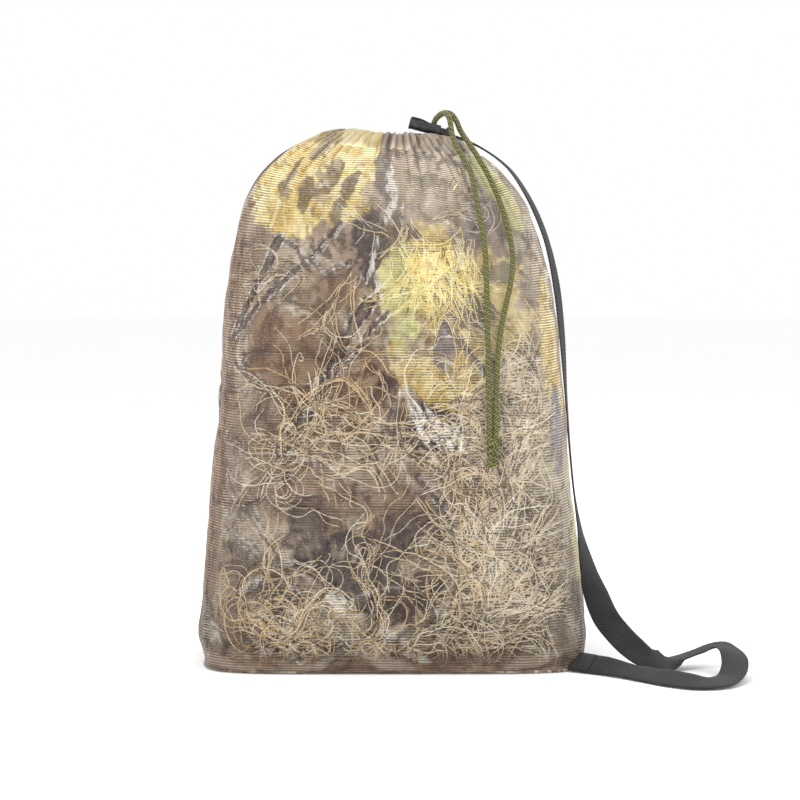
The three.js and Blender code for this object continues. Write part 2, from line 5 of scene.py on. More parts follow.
import bmesh
import bpy
import numpy as np
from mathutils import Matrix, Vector


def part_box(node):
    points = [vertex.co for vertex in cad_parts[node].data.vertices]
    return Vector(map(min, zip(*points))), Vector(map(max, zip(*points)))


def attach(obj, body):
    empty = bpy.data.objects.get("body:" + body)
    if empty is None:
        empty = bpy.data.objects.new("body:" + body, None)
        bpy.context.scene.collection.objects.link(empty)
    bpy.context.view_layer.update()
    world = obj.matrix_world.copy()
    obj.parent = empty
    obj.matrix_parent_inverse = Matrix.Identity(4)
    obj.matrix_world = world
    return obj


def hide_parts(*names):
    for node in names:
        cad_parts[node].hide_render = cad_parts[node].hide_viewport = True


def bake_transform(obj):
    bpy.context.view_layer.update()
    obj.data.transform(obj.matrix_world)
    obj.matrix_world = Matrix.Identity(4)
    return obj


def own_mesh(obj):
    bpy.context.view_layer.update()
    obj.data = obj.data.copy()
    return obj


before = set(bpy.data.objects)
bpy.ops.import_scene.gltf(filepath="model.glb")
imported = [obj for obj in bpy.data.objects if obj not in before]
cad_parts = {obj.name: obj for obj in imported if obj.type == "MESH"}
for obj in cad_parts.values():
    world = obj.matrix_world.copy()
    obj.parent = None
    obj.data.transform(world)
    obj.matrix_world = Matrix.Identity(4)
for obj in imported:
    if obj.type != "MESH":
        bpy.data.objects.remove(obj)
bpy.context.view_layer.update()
MM = 0.001
scene = bpy.context.scene

# ---------------------------------------------------------------- camera

CAMERA_PLACE = (0.0, -1.7234, 0.3039)
CAMERA_PITCH = -3.42
CAMERA_YAW = -0.157
SENSOR_WIDTH = 36
LENS = 98.6
camera_data = bpy.data.cameras.new("camera")
camera_data.sensor_width = SENSOR_WIDTH
camera_data.lens = LENS
camera = bpy.data.objects.new("camera", camera_data)
camera.location = CAMERA_PLACE
camera.rotation_euler = (math.radians(90 + CAMERA_PITCH), 0, math.radians(CAMERA_YAW))
scene.collection.objects.link(camera)
scene.camera = camera

# ---------------------------------------------------------------- sizes shared with the CAD model, mm

BAG_WIDTH = 300
BAG_DEPTH = 200
BAG_HEIGHT = 414
MOUTH_WIDTH = 76
MOUTH_DEPTH = 44
SLUMP = 6
CORD = 4.5
CORD_SPACING = 5.4
CASING_TOP = 408.5
CASING_TILT = math.radians(4)
CASING_DEPTH = 13
LOOP_HALF = (29, 16)
LOOP_DROP = 6.3
HOLE_HALF = (22.55, 9.55)
LOCK_TILT = math.radians(15)
LOCK_MIDDLE = np.array((24.31, -5.47, 414.42))
STRAP_WIDTH = 20
STRAP_THICKNESS = 1.6

# height share, width share, depth share, slump share, corner power
OUTLINE = np.array([
    (0.00, 0.970, 0.90, 0.00, 6.0), (0.04, 1.000, 0.95, 0.00, 5.0), (0.12, 0.970, 0.99, 0.20, 3.6),
    (0.25, 0.935, 1.00, 0.35, 3.0), (0.45, 0.870, 0.96, 0.25, 2.7), (0.59, 0.830, 0.88, 0.40, 2.6),
    (0.70, 0.790, 0.75, 0.50, 2.6), (0.82, 0.690, 0.55, 0.90, 2.5), (0.87, 0.620, 0.43, 1.00, 2.5),
    (0.92, 0.490, 0.29, 0.70, 2.4), (0.96, 0.310, 0.17, 0.60, 2.3), (1.00, 0.000, 0.00, 0.00, 2.2),
])
OUTLINE_ROUNDING = 0.03


def section(z, inset=0.0):
    """Half width, half depth, middle and corner power of the bag at heights z in mm."""
    share = np.clip(np.asarray(z, float) / BAG_HEIGHT, 0, 1)
    window = np.minimum(OUTLINE_ROUNDING, np.minimum(share, 1 - share))
    width, depth, slump, power = (
        np.mean([np.interp(share + k * window, OUTLINE[:, 0], OUTLINE[:, column])
                 for k in np.linspace(-1, 1, 9)], axis=0)
        for column in range(1, 5)
    )
    half_width = (MOUTH_WIDTH + (BAG_WIDTH - MOUTH_WIDTH) * width) / 2 - inset
    half_depth = (MOUTH_DEPTH + (BAG_DEPTH - MOUTH_DEPTH) * depth) / 2 - inset
    return half_width, half_depth, -slump * SLUMP, power


# ---------------------------------------------------------------- smooth noise

def lattice(ix, iy, seed):
    """A repeatable number from 0 to 1 for each whole-numbered place."""
    h = (ix.astype(np.int64) * 374761393 + iy.astype(np.int64) * 668265263 + seed * 974634777) & 0xFFFFFFFF
    h = ((h ^ (h >> 13)) * 1274126177) & 0xFFFFFFFF
    h = h ^ (h >> 16)
    return (h & 0xFFFFFF) / float(0xFFFFFF)


def noise(x, y, seed):
    """Smooth noise from -1 to 1."""
    x, y = np.broadcast_arrays(np.asarray(x, float), np.asarray(y, float))
    ix, iy = np.floor(x), np.floor(y)
    fx, fy = x - ix, y - iy
    fx = fx * fx * fx * (fx * (fx * 6 - 15) + 10)
    fy = fy * fy * fy * (fy * (fy * 6 - 15) + 10)
    a = lattice(ix, iy, seed) * (1 - fx) + lattice(ix + 1, iy, seed) * fx
    b = lattice(ix, iy + 1, seed) * (1 - fx) + lattice(ix + 1, iy + 1, seed) * fx
    return (a * (1 - fy) + b * fy) * 2 - 1


def fractal(x, y, seed, octaves, fade=0.5):
    """Noise of several sizes at once, each octave finer and weaker."""
    total, weight, size = 0.0, 1.0, 0.0
    for octave in range(octaves):
        total = total + weight * noise(x * 2.03 ** octave, y * 2.03 ** octave, seed + octave * 17)
        size += weight
        weight *= fade
    return total / size


def smooth(low, high, value):
    """Rises smoothly from 0 at low to 1 at high."""
    t = np.clip((value - low) / (high - low), 0, 1)
    return t * t * (3 - 2 * t)


# ---------------------------------------------------------------- meshes

LINE_STEPS = 24


def grid_faces(rows, columns, closed=False):
    """The four-sided faces between the rows of a grid of points."""
    index = np.arange(rows * columns).reshape(rows, columns)
    right = np.roll(index, -1, axis=1) if closed else index[:, 1:]
    left = index if closed else index[:, :-1]
    return np.stack([left[:-1], right[:-1], right[1:], left[1:]], axis=-1).reshape(-1, 4)


def make(name, points, faces, material):
    """A smooth mesh object from points in mm and faces of one size."""
    mesh = bpy.data.meshes.new(name)
    points = np.asarray(points, np.float32).reshape(-1, 3) * MM
    faces = np.asarray(faces, np.int32)
    sides = faces.shape[1]
    mesh.vertices.add(len(points))
    mesh.vertices.foreach_set("co", points.ravel())
    mesh.loops.add(faces.size)
    mesh.loops.foreach_set("vertex_index", faces.ravel())
    mesh.polygons.add(len(faces))
    mesh.polygons.foreach_set("loop_start", np.arange(len(faces), dtype=np.int32) * sides)
    mesh.polygons.foreach_set("loop_total", np.full(len(faces), sides, np.int32))
    mesh.update(calc_edges=True)
    mesh.polygons.foreach_set("use_smooth", np.full(len(faces), True))
    obj = bpy.data.objects.new(name, mesh)
    scene.collection.objects.link(obj)
    mesh.materials.append(material)
    return obj


def loft(name, rings, material, flip=False, first=True, last=True):
    """A skin over closed rings of points. Its first and last rings get a flat face unless told not to."""
    rings = np.asarray(rings, float)
    rows, sides, _ = rings.shape
    faces = grid_faces(rows, sides, closed=True)
    obj = make(name, rings, faces[:, ::-1] if flip else faces, material)
    bm = bmesh.new()
    bm.from_mesh(obj.data)
    bm.verts.ensure_lookup_table()
    if first:
        bm.faces.new([bm.verts[i] for i in reversed(range(sides))])
    if last:
        bm.faces.new([bm.verts[(rows - 1) * sides + i] for i in range(sides)])
    bm.to_mesh(obj.data)
    bm.free()
    return obj


def belongs(obj, body, slot, *nodes):
    """Says which body a piece moves with, and the CAD nodes whose look it is; its finish, slot, is not used.
    """
    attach(obj, body)
    if nodes:
        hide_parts(*nodes)


def attribute(obj, name, values):
    """Three numbers at each point, for the material to read."""
    layer = obj.data.attributes.new(name, "FLOAT_VECTOR", "POINT")
    layer.data.foreach_set("vector", np.asarray(values, np.float32).ravel())


def centripetal(points, step):
    """A smooth line through points, at about equal steps."""
    p = np.asarray(points, float)
    p = np.vstack([2 * p[0] - p[1], p, 2 * p[-1] - p[-2]])
    line = []
    for i in range(1, len(p) - 2):
        corners = p[i - 1:i + 3]
        gaps = np.maximum(np.linalg.norm(np.diff(corners, axis=0), axis=1), 1e-6)
        knots = np.r_[0, np.cumsum(gaps ** 0.5)]
        t = np.linspace(knots[1], knots[2], LINE_STEPS, endpoint=False)[:, None]

        def between(one, two, i, j):
            return (knots[j] - t) / (knots[j] - knots[i]) * one + (t - knots[i]) / (knots[j] - knots[i]) * two

        a1, a2, a3 = (between(corners[k], corners[k + 1], k, k + 1) for k in range(3))
        line.append(between(between(a1, a2, 0, 2), between(a2, a3, 1, 3), 1, 2))
    return even(np.vstack([*line, p[-2][None]]), step)


def distances(line):
    """How far along a line each of its points is."""
    return np.r_[0, np.cumsum(np.linalg.norm(np.diff(line, axis=0), axis=1))]


def even(line, step):
    """The same line with its points at about equal steps."""
    lengths = distances(line)
    count = max(3, int(round(lengths[-1] / step)) + 1)
    at = np.linspace(0, lengths[-1], count)
    return np.stack([np.interp(at, lengths, line[:, axis]) for axis in range(3)], axis=1)


def frames_along(line, start=(0.13, 0.31, 0.94)):
    """Unit vectors across a line that turn as little as they can."""
    run = np.gradient(line, axis=0)
    run /= np.linalg.norm(run, axis=1)[:, None]
    across = np.zeros_like(line)
    side = np.cross(run[0], start)
    for i, way in enumerate(run):
        side = side - way * side.dot(way)
        side /= np.linalg.norm(side)
        across[i] = side
    return run, across, np.cross(run, across)


BRAID_STRANDS = 4
BRAID_LAY = 9.0
BRAID_SINK = 0.6


def tube(name, line, radius, sides, material, braid=0.0):
    """A tube on a line. braid raises crossed strands on it by so many mm."""
    run, across, up = frames_along(line)
    along = distances(line)
    turn = np.arange(sides) / sides * 2 * math.pi
    cos, sin = np.cos(turn)[None, :, None], np.sin(turn)[None, :, None]
    radii = np.broadcast_to(np.asarray(radius, float), (len(line),))[:, None] * np.ones(sides)
    if braid:
        lay = 2 * math.pi * along[:, None] / BRAID_LAY
        one = np.sin(BRAID_STRANDS * (turn[None] + lay))
        two = np.sin(BRAID_STRANDS * (turn[None] - lay))
        radii = radii + braid * (np.maximum(one, two) - BRAID_SINK)
    rings = line[:, None] + radii[..., None] * (cos * across[:, None] + sin * up[:, None])
    obj = loft(name, rings, material)
    round_it = np.tile(turn, len(line))
    attribute(obj, "lay", np.stack([np.cos(round_it), np.sin(round_it), np.repeat(along, sides)], axis=1))
    return obj


# ---------------------------------------------------------------- material nodes

class Nodes:
    """Builds a material's nodes with short calls."""

    def __init__(self, name):
        self.material = bpy.data.materials.new(name)
        self.material.use_nodes = True
        self.tree = self.material.node_tree
        self.tree.nodes.clear()
        self.out = self.tree.nodes.new("ShaderNodeOutputMaterial")
        self.shader = self.tree.nodes.new("ShaderNodeBsdfPrincipled")
        self.tree.links.new(self.shader.outputs[0], self.out.inputs[0])

    def put(self, socket, value):
        if isinstance(value, bpy.types.NodeSocket):
            self.tree.links.new(value, socket)
        elif isinstance(value, (tuple, list)) and socket.type == "RGBA":
            socket.default_value = (*value[:3], 1)
        else:
            socket.default_value = value

    def math(self, operation, a, b=0.0, c=0.0, clamp=False):
        node = self.tree.nodes.new("ShaderNodeMath")
        node.operation = operation
        node.use_clamp = clamp
        for socket, value in zip(node.inputs, (a, b, c)):
            self.put(socket, value)
        return node.outputs[0]

    def times(self, a, b, clamp=False):
        return self.math("MULTIPLY", a, b, clamp=clamp)

    def times_add(self, a, b, c, clamp=False):
        return self.math("MULTIPLY_ADD", a, b, c, clamp)

    def wave(self, value, pitch):
        """A sine wave that repeats at every pitch."""
        return self.math("SINE", self.times(value, 2 * math.pi / pitch))

    def mix(self, share, a, b):
        node = self.tree.nodes.new("ShaderNodeMix")
        node.data_type = "RGBA"
        self.put(node.inputs[0], share)
        self.put(node.inputs[6], a)
        self.put(node.inputs[7], b)
        return node.outputs[2]

    def blotch(self, low, high, value, a, b):
        """Two colours, shared out by where a value is between low and high."""
        return self.mix(self.step(low, high, value), srgb(a), srgb(b))

    def tint(self, color, share, strength, text):
        """A colour laid over another, at a share of its strength."""
        return self.mix(self.times(share, strength), color, srgb(text))

    def step(self, low, high, value):
        node = self.tree.nodes.new("ShaderNodeMapRange")
        node.interpolation_type = "SMOOTHSTEP"
        self.put(node.inputs[0], value)
        node.inputs[1].default_value = low
        node.inputs[2].default_value = high
        return node.outputs[0]

    def read(self, name):
        node = self.tree.nodes.new("ShaderNodeAttribute")
        node.attribute_name = name
        split = self.tree.nodes.new("ShaderNodeSeparateXYZ")
        self.tree.links.new(node.outputs["Vector"], split.inputs[0])
        return node.outputs["Vector"], split.outputs

    def place(self):
        node = self.tree.nodes.new("ShaderNodeTexCoord")
        return node.outputs["Object"]

    def noise(self, vector, scale, detail=3.0, rough=0.55, stretch=None, distortion=0.0):
        if stretch:
            mapping = self.tree.nodes.new("ShaderNodeMapping")
            mapping.inputs["Scale"].default_value = stretch
            self.put(mapping.inputs[0], vector)
            vector = mapping.outputs[0]
        node = self.tree.nodes.new("ShaderNodeTexNoise")
        node.inputs["Scale"].default_value = scale
        node.inputs["Detail"].default_value = detail
        node.inputs["Roughness"].default_value = rough
        node.inputs["Distortion"].default_value = distortion
        self.put(node.inputs["Vector"], vector)
        return node.outputs[0]

    def bump(self, height, strength, distance):
        node = self.tree.nodes.new("ShaderNodeBump")
        node.inputs["Strength"].default_value = strength
        node.inputs["Distance"].default_value = distance
        self.put(node.inputs["Height"], height)
        self.put(self.shader.inputs["Normal"], node.outputs[0])

    def set(self, **values):
        names = {
            "color": "Base Color", "rough": "Roughness", "metal": "Metallic", "alpha": "Alpha",
            "sheen": "Sheen Weight", "sheen_rough": "Sheen Roughness", "specular": "Specular IOR Level",
        }
        for key, value in values.items():
            self.put(self.shader.inputs[names[key]], value)
        return self.material


def srgb(text):
    """A colour from its six hexadecimal digits, as linear light."""
    parts = [int(text[i:i + 2], 16) / 255 for i in (0, 2, 4)]
    return tuple(c / 12.92 if c <= 0.04045 else ((c + 0.055) / 1.055) ** 2.4 for c in parts)


RIB_PITCH = 0.00205
CROSS_THREAD_PITCH = 0.0011
WEAVE_PITCH = 0.0012
SEAM_RIB_PITCH = 0.0016
# the webbing's three weaves, mm
WEBBING_ACROSS = 1.25
WEBBING_ALONG = 1.7
WEBBING_HERRING = 1.6


def print_color(n, shade):
    """The printed pattern: noise for the ground, and the masks that each piece carries for its leaves; then
    painted shade and painted highlight.
    """
    cloth, _ = n.read("cloth")
    _, warm = n.read("warm")
    _, cool = n.read("cool")
    _, shape = n.read("shape")
    broad = n.noise(cloth, 17, 4, 0.6, distortion=0.5)
    middle = n.noise(cloth, 70, 5, 0.66, distortion=0.8)
    fine = n.noise(cloth, 300, 4, 0.7)
    streak = n.noise(cloth, 42, 5, 0.62, stretch=(2.4, 1, 0.8), distortion=0.5)
    color = n.blotch(0.38, 0.62, broad, "cbbda8", "a3907c")
    color = n.tint(color, n.step(0.5, 0.64, streak), 0.75, "7b6856")
    color = n.tint(color, n.step(0.5, 0.6, middle), 0.75, "524339")
    color = n.tint(color, n.step(0.56, 0.68, n.noise(cloth, 46, 5, 0.65)), 0.8, "efe6d3")
    vein = n.step(0.53, 0.6, n.noise(cloth, 120, 4, 0.65, distortion=1.2))
    gold = n.blotch(0.4, 0.62, middle, "f9e9b0", "d9ba6b")
    gold = n.tint(gold, vein, 0.6, "86683a")
    gold = n.tint(gold, n.step(0.55, 0.7, streak), 0.5, "faf0cc")
    green = n.blotch(0.4, 0.62, middle, "e4e1a8", "bfba78")
    green = n.tint(green, vein, 0.35, "7f8446")
    brown = n.blotch(0.4, 0.62, middle, "987a5f", "6b5040")
    dark = n.blotch(0.35, 0.65, fine, "5c4f51", "2a2225")
    purple = n.blotch(0.4, 0.6, streak, "a29aa6", "7d7580")
    leaves = ((warm[2], brown), (warm[0], gold), (warm[1], green), (cool[2], purple), (cool[0], dark))
    for mask, leaf in leaves:
        color = n.mix(mask, color, leaf)
    glint = n.times(cool[1], n.step(0.36, 0.56, n.noise(cloth, 210, 3, 0.6, stretch=(1, 1, 0.6))))
    color = n.tint(color, glint, 0.95, "fffcf4")
    color = n.tint(color, n.step(0.58, 0.7, fine), 0.5, "473a30")
    color = n.tint(color, n.step(0.42, 0.32, fine), 0.4, "fbf4e4")
    # painted shade: pleat valleys, creases, tucks and the cloth under the threads, and darker towards the
    # bottom
    color = n.mix(n.times(shape[0], 0.6, clamp=True), color, srgb("352a23"))
    # painted highlight on the ridges of the pleats and of the slack foot, and paler places
    color = n.tint(color, shape[1], 0.4, "f0e6d2")
    # an even share of painted shade, as much as the piece is given
    return n.mix(shade, color, (0.02, 0.015, 0.012))


def mesh_material():
    """See-through knitted mesh: ribs about 2 mm apart, and finer threads across them."""
    n = Nodes("mesh_cloth")
    cloth, along = n.read("cloth")
    _, shape = n.read("shape")
    rise = n.math("ADD", along[2], n.times(n.noise(cloth, 40, 2), 0.0014))
    rib = n.step(-0.35, 0.85, n.wave(rise, RIB_PITCH))
    thread = n.step(-0.6, 0.6, n.wave(along[0], CROSS_THREAD_PITCH))
    cover = n.times_add(rib, 0.38, 0.09)
    cover = n.times_add(thread, 0.08, cover)
    cover = n.times_add(shape[2], 0.62, cover)
    cover = n.times_add(n.noise(cloth, 22, 3), 0.14, cover, clamp=True)
    color = n.tint(print_color(n, 0.0), n.math("SUBTRACT", 1.0, rib), 0.42, "43352b")
    n.bump(n.times_add(thread, 0.25, rib), 0.45, 0.0005)
    return n.set(color=color, rough=0.75, alpha=cover, sheen=0.15, sheen_rough=0.4, specular=0.25)


def solid_cloth(name, shade):
    """Opaque printed cloth, woven, with a share of painted shade over all of it."""
    n = Nodes(name)
    cloth, along = n.read("cloth")
    weave = n.times(n.wave(along[0], WEAVE_PITCH), n.wave(along[2], WEAVE_PITCH))
    n.bump(n.times_add(weave, 0.15, n.noise(cloth, 90, 5, 0.65)), 0.6, 0.0022)
    return n.set(color=print_color(n, shade), rough=0.92, sheen=0.2, sheen_rough=0.6, specular=0.2)


def thread_material(name, light, middle, dark, shaded_from):
    """Fuzzy thread: each strand has its own tone, and some lie in the shade of the rest."""
    n = Nodes(name)
    _, tone = n.read("tone")
    fine = n.noise(n.place(), 1600, 2)
    color = n.blotch(0.0, 0.55, tone[0], light, middle)
    color = n.mix(n.step(0.55, 1.0, tone[0]), color, srgb(dark))
    color = n.tint(color, n.step(0.45, 0.7, fine), 0.3, "857252")
    color = n.mix(n.step(shaded_from, shaded_from + 0.1, tone[1]), color, srgb("4a392b"))
    n.bump(fine, 0.5, 0.0003)
    return n.set(color=color, rough=0.72, sheen=0.3, sheen_rough=0.4, specular=0.3)


def cord_material():
    """Braided cord: olive strands with dark gaps and tracers between them."""
    n = Nodes("olive_cord")
    _, lay = n.read("lay")
    turn = n.math("ARCTAN2", lay[1], lay[0])
    reach = n.times(lay[2], 2 * math.pi / BRAID_LAY)
    winding = n.math("ADD", turn, reach)
    one = n.math("SINE", n.times(winding, float(BRAID_STRANDS)))
    two = n.math("SINE", n.times(n.math("SUBTRACT", turn, reach), float(BRAID_STRANDS)))
    top = n.math("MAXIMUM", one, two)
    tracer = n.step(0.1, 0.5, n.math("SINE", n.times(winding, 2.0)))
    tracer = n.times(tracer, n.step(-0.2, 0.4, n.math("SUBTRACT", one, two)))
    dark = n.math("MAXIMUM", n.times(n.step(0.93, 0.45, top), 0.9), n.times(tracer, 0.75))
    fibre = n.noise(n.place(), 2400, 2)
    color = n.mix(dark, n.blotch(0.35, 0.65, fibre, "9f9c54", "63652a"), srgb("0a0c05"))
    n.bump(n.times_add(fibre, 0.4, top), 0.6, 0.0004)
    return n.set(color=color, rough=0.62, sheen=0.25, sheen_rough=0.4, specular=0.4)


def webbing_material():
    """Charcoal webbing with a herringbone weave, a little worn."""
    n = Nodes("webbing")
    _, lay = n.read("lay")
    plain = n.times(n.wave(lay[0], WEBBING_ACROSS), n.wave(lay[2], WEBBING_ALONG))
    slanted = n.times_add(n.math("ABSOLUTE", lay[0]), 0.7, lay[2])
    weave = n.times_add(n.wave(slanted, WEBBING_HERRING), 0.6, plain)
    color = n.blotch(-0.7, 0.9, weave, "0f1011", "2d2e30")
    color = n.tint(color, n.step(0.5, 0.75, n.noise(n.place(), 70, 4)), 0.25, "414144")
    n.bump(weave, 0.6, 0.0005)
    return n.set(color=color, rough=0.66, sheen=0.1, sheen_rough=0.35, specular=0.3)


def seam_material():
    """Brown ribbed tape."""
    n = Nodes("seam_tape")
    cloth, along = n.read("cloth")
    ribs = n.wave(along[2], SEAM_RIB_PITCH)
    color = n.blotch(0.35, 0.65, n.noise(cloth, 60, 4), "6d5b48", "48392d")
    color = n.tint(color, n.step(0.2, -0.6, ribs), 0.4, "2b221b")
    n.bump(ribs, 0.5, 0.0005)
    return n.set(color=color, rough=0.85, sheen=0.2, specular=0.25)


def plastic_material():
    """Black moulded plastic with worn places."""
    n = Nodes("black_plastic")
    worn = n.noise(n.place(), 210, 4)
    n.bump(n.noise(n.place(), 2600, 3), 0.25, 0.00015)
    color = n.blotch(0.45, 0.75, worn, "1b1c1e", "3a3b3e")
    return n.set(color=color, rough=n.times_add(worn, 0.3, 0.28), specular=0.5)


def steel_material():
    """Drawn spring wire."""
    n = Nodes("spring_steel")
    streak = n.noise(n.place(), 900, 3, stretch=(1, 1, 0.2))
    n.bump(streak, 0.2, 0.0001)
    color = n.blotch(0.4, 0.7, streak, "c3c6ca", "8b8f94")
    return n.set(color=color, rough=n.times_add(streak, 0.2, 0.18), metal=1.0)


def floor_material():
    """A white studio floor."""
    n = Nodes("floor")
    soft = n.noise(n.place(), 3, 3)
    color = n.mix(n.step(0.3, 0.7, soft), (0.985, 0.985, 0.985), (0.97, 0.97, 0.97))
    return n.set(color=color, rough=0.9, specular=0.1)


MESH = mesh_material()
# the clothes get 0.24 of painted shade all over
BUNDLE = solid_cloth("leaf_cloth", 0.24)
STRAW = thread_material("straw_thread", "fff9e6", "f5dfb0", "c9a468", 0.66)
GOLD = thread_material("gold_thread", "fffcd2", "fceca0", "dcbc64", 0.88)
CORD_FINISH = cord_material()
WEBBING = webbing_material()
SEAM = seam_material()
PLASTIC = plastic_material()
STEEL = steel_material()

# ---------------------------------------------------------------- cords

LOCK_X = np.array((math.cos(LOCK_TILT), 0, -math.sin(LOCK_TILT)))
LOCK_Z = np.array((math.sin(LOCK_TILT), 0, math.cos(LOCK_TILT)))


def in_lock(x, y, z):
    """A place in the lock: along it, across it, and up its cord hole."""
    return LOCK_MIDDLE + x * LOCK_X + np.array((0, y, 0)) + z * LOCK_Z


BORE = 6
BARREL_HALF_HEIGHT = 4
GAP = 0.3
TAIL_STRAIGHT = 2
CORD_STEP = 0.8
BRAID_RISE = 0.14
NECK_FOOT = -BARREL_HALF_HEIGHT - 9 - CORD / 2
SIDES = {"a": -CORD_SPACING / 2, "b": CORD_SPACING / 2}
TAIL_ROUTES = {
    "a": [
        (35.1, -10.4, 422.7), (39.5, -15.5, 424.3), (42.6, -20.6, 420.8), (43.8, -23.2, 414.5),
        (44.8, -25, 408), (47.5, -30.5, 399.5), (52.5, -36.5, 389.5), (58, -42, 379.5), (62, -51.5, 361),
        (65, -59.5, 342.5), (68.5, -67, 320), (69.5, -74, 298), (70, -83, 261), (70.5, -87.5, 235),
        (71, -91, 209), (71.4, -94, 179),
    ],
    "b": [
        (33.8, -3.6, 422.3), (38.6, -5.4, 425.4), (44.5, -8.2, 424.2), (48.6, -9.8, 418.5),
        (51.5, -12, 411.5), (56, -18.5, 404), (63, -29, 392.5), (72.5, -38.5, 375), (81, -47, 354),
        (86.5, -53, 335), (90, -60, 312.5), (87.5, -69.5, 290.5), (83.5, -75, 274), (80, -80.5, 257),
        (77.5, -85.5, 235), (76.5, -89.5, 209), (76, -93, 179),
    ],
}
tail_lines = {}
tails = {}
for letter, side in SIDES.items():
    straight = [in_lock(BORE, side, BARREL_HALF_HEIGHT + GAP + reach) for reach in (0, TAIL_STRAIGHT)]
    line = centripetal([*straight, *TAIL_ROUTES[letter]], CORD_STEP)
    tail_lines[letter] = line
    tails[letter] = tube(f"cord_tail_{letter}", line, CORD / 2 - 0.1, 20, CORD_FINISH, braid=BRAID_RISE)
    belongs(tails[letter], "cord_lock", "olive_cord", f"drawcord_tail_{letter}")

# an overhand knot of both tails, with the two cords that come in at its top and their two frayed ends
KNOT_TOP = np.array((73.6, -96.4, 178.7))
KNOT_HALF = (3.5, 2.8)
KNOT_TURNS = 2.4
KNOT_DROP = 9.6
turns = np.linspace(0, 1, 110)
knot_angle = turns * 2 * math.pi * KNOT_TURNS
knot_line = KNOT_TOP + np.stack([
    KNOT_HALF[0] * np.cos(knot_angle) * (1 - 0.12 * turns),
    KNOT_HALF[1] * np.sin(knot_angle),
    -2.6 - KNOT_DROP * turns + 1.1 * np.sin(knot_angle * 0.5 + 0.6),
], axis=1)
knot = tube("cord_knot", even(knot_line, 0.6), 2.2, 18, CORD_FINISH, braid=BRAID_RISE)
belongs(knot, "cord_lock", "olive_cord", "drawcord_knot")
# radius, how far it widens to its end, the braid's rise, and its places from the knot's top
KNOT_CORDS = {
    "end_0": (2.0, 0.8, 0.2, [(-0.54, -0.6, -9.5), (-1.44, -0.6, -14.5), (-2.16, -0.78, -22.6)]),
    "end_1": (2.0, 0.8, 0.2, [(0.63, 0.5, -9.5), (1.68, 0.5, -14.5), (2.52, 0.65, -20.8)]),
    "feed_0": (2.1, 0, BRAID_RISE, [(-2.2, 2.2, 1.2), (-1.8, 1.0, -2.0), (-1.0, 0.2, -6.0)]),
    "feed_1": (2.1, 0, BRAID_RISE, [(2.2, 1.8, 1.2), (1.6, 1.0, -2.0), (1.0, 0.2, -6.0)]),
}
knot_cords = []
for name, (radius, widening, rise, places) in KNOT_CORDS.items():
    line = centripetal([KNOT_TOP + np.array(place) for place in places], 0.5)
    widths = radius + widening * np.linspace(0, 1, len(line)) ** 2
    knot_cords.append(tube(f"cord_knot_{name}", line, widths, 16, CORD_FINISH, braid=rise))
    belongs(knot_cords[-1], "cord_lock", "olive_cord")
for letter, piece in tails.items():
    line = tail_lines[letter]


def casing_place(local):
    """A place given from the middle of the casing's top, which is tilted."""
    local = np.asarray(local, float)
    c, s = math.cos(CASING_TILT), math.sin(CASING_TILT)
    x = c * local[..., 0] + s * local[..., 2]
    z = -s * local[..., 0] + c * local[..., 2] + CASING_TOP
    return np.stack([x, local[..., 1], z], axis=-1)


loop_turn = np.radians(np.linspace(-2, 322, 120))
loop_line = casing_place(np.stack([
    LOOP_HALF[0] * np.cos(loop_turn), LOOP_HALF[1] * np.sin(loop_turn), np.full_like(loop_turn, -LOOP_DROP),
], axis=1))
loop = tube("drawcord_in_casing", even(loop_line, 1.2), CORD / 2 - 0.1, 16, CORD_FINISH, braid=BRAID_RISE)
belongs(loop, "bag", "olive_cord", "drawcord_loop")
for letter, side in SIDES.items():
    foot = in_lock(BORE, side, NECK_FOOT)
    top = in_lock(BORE, side, BARREL_HALF_HEIGHT + 0.2)
    line = even(np.array([foot + (top - foot) * t for t in np.linspace(0, 1, 40)]), CORD_STEP)
    piece = tube(f"cord_neck_{letter}", line, CORD / 2 - 0.15, 18, CORD_FINISH, braid=0.12)
    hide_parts(f"drawcord_neck_{letter}")
    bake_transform(piece)

# ---------------------------------------------------------------- shoulder strap

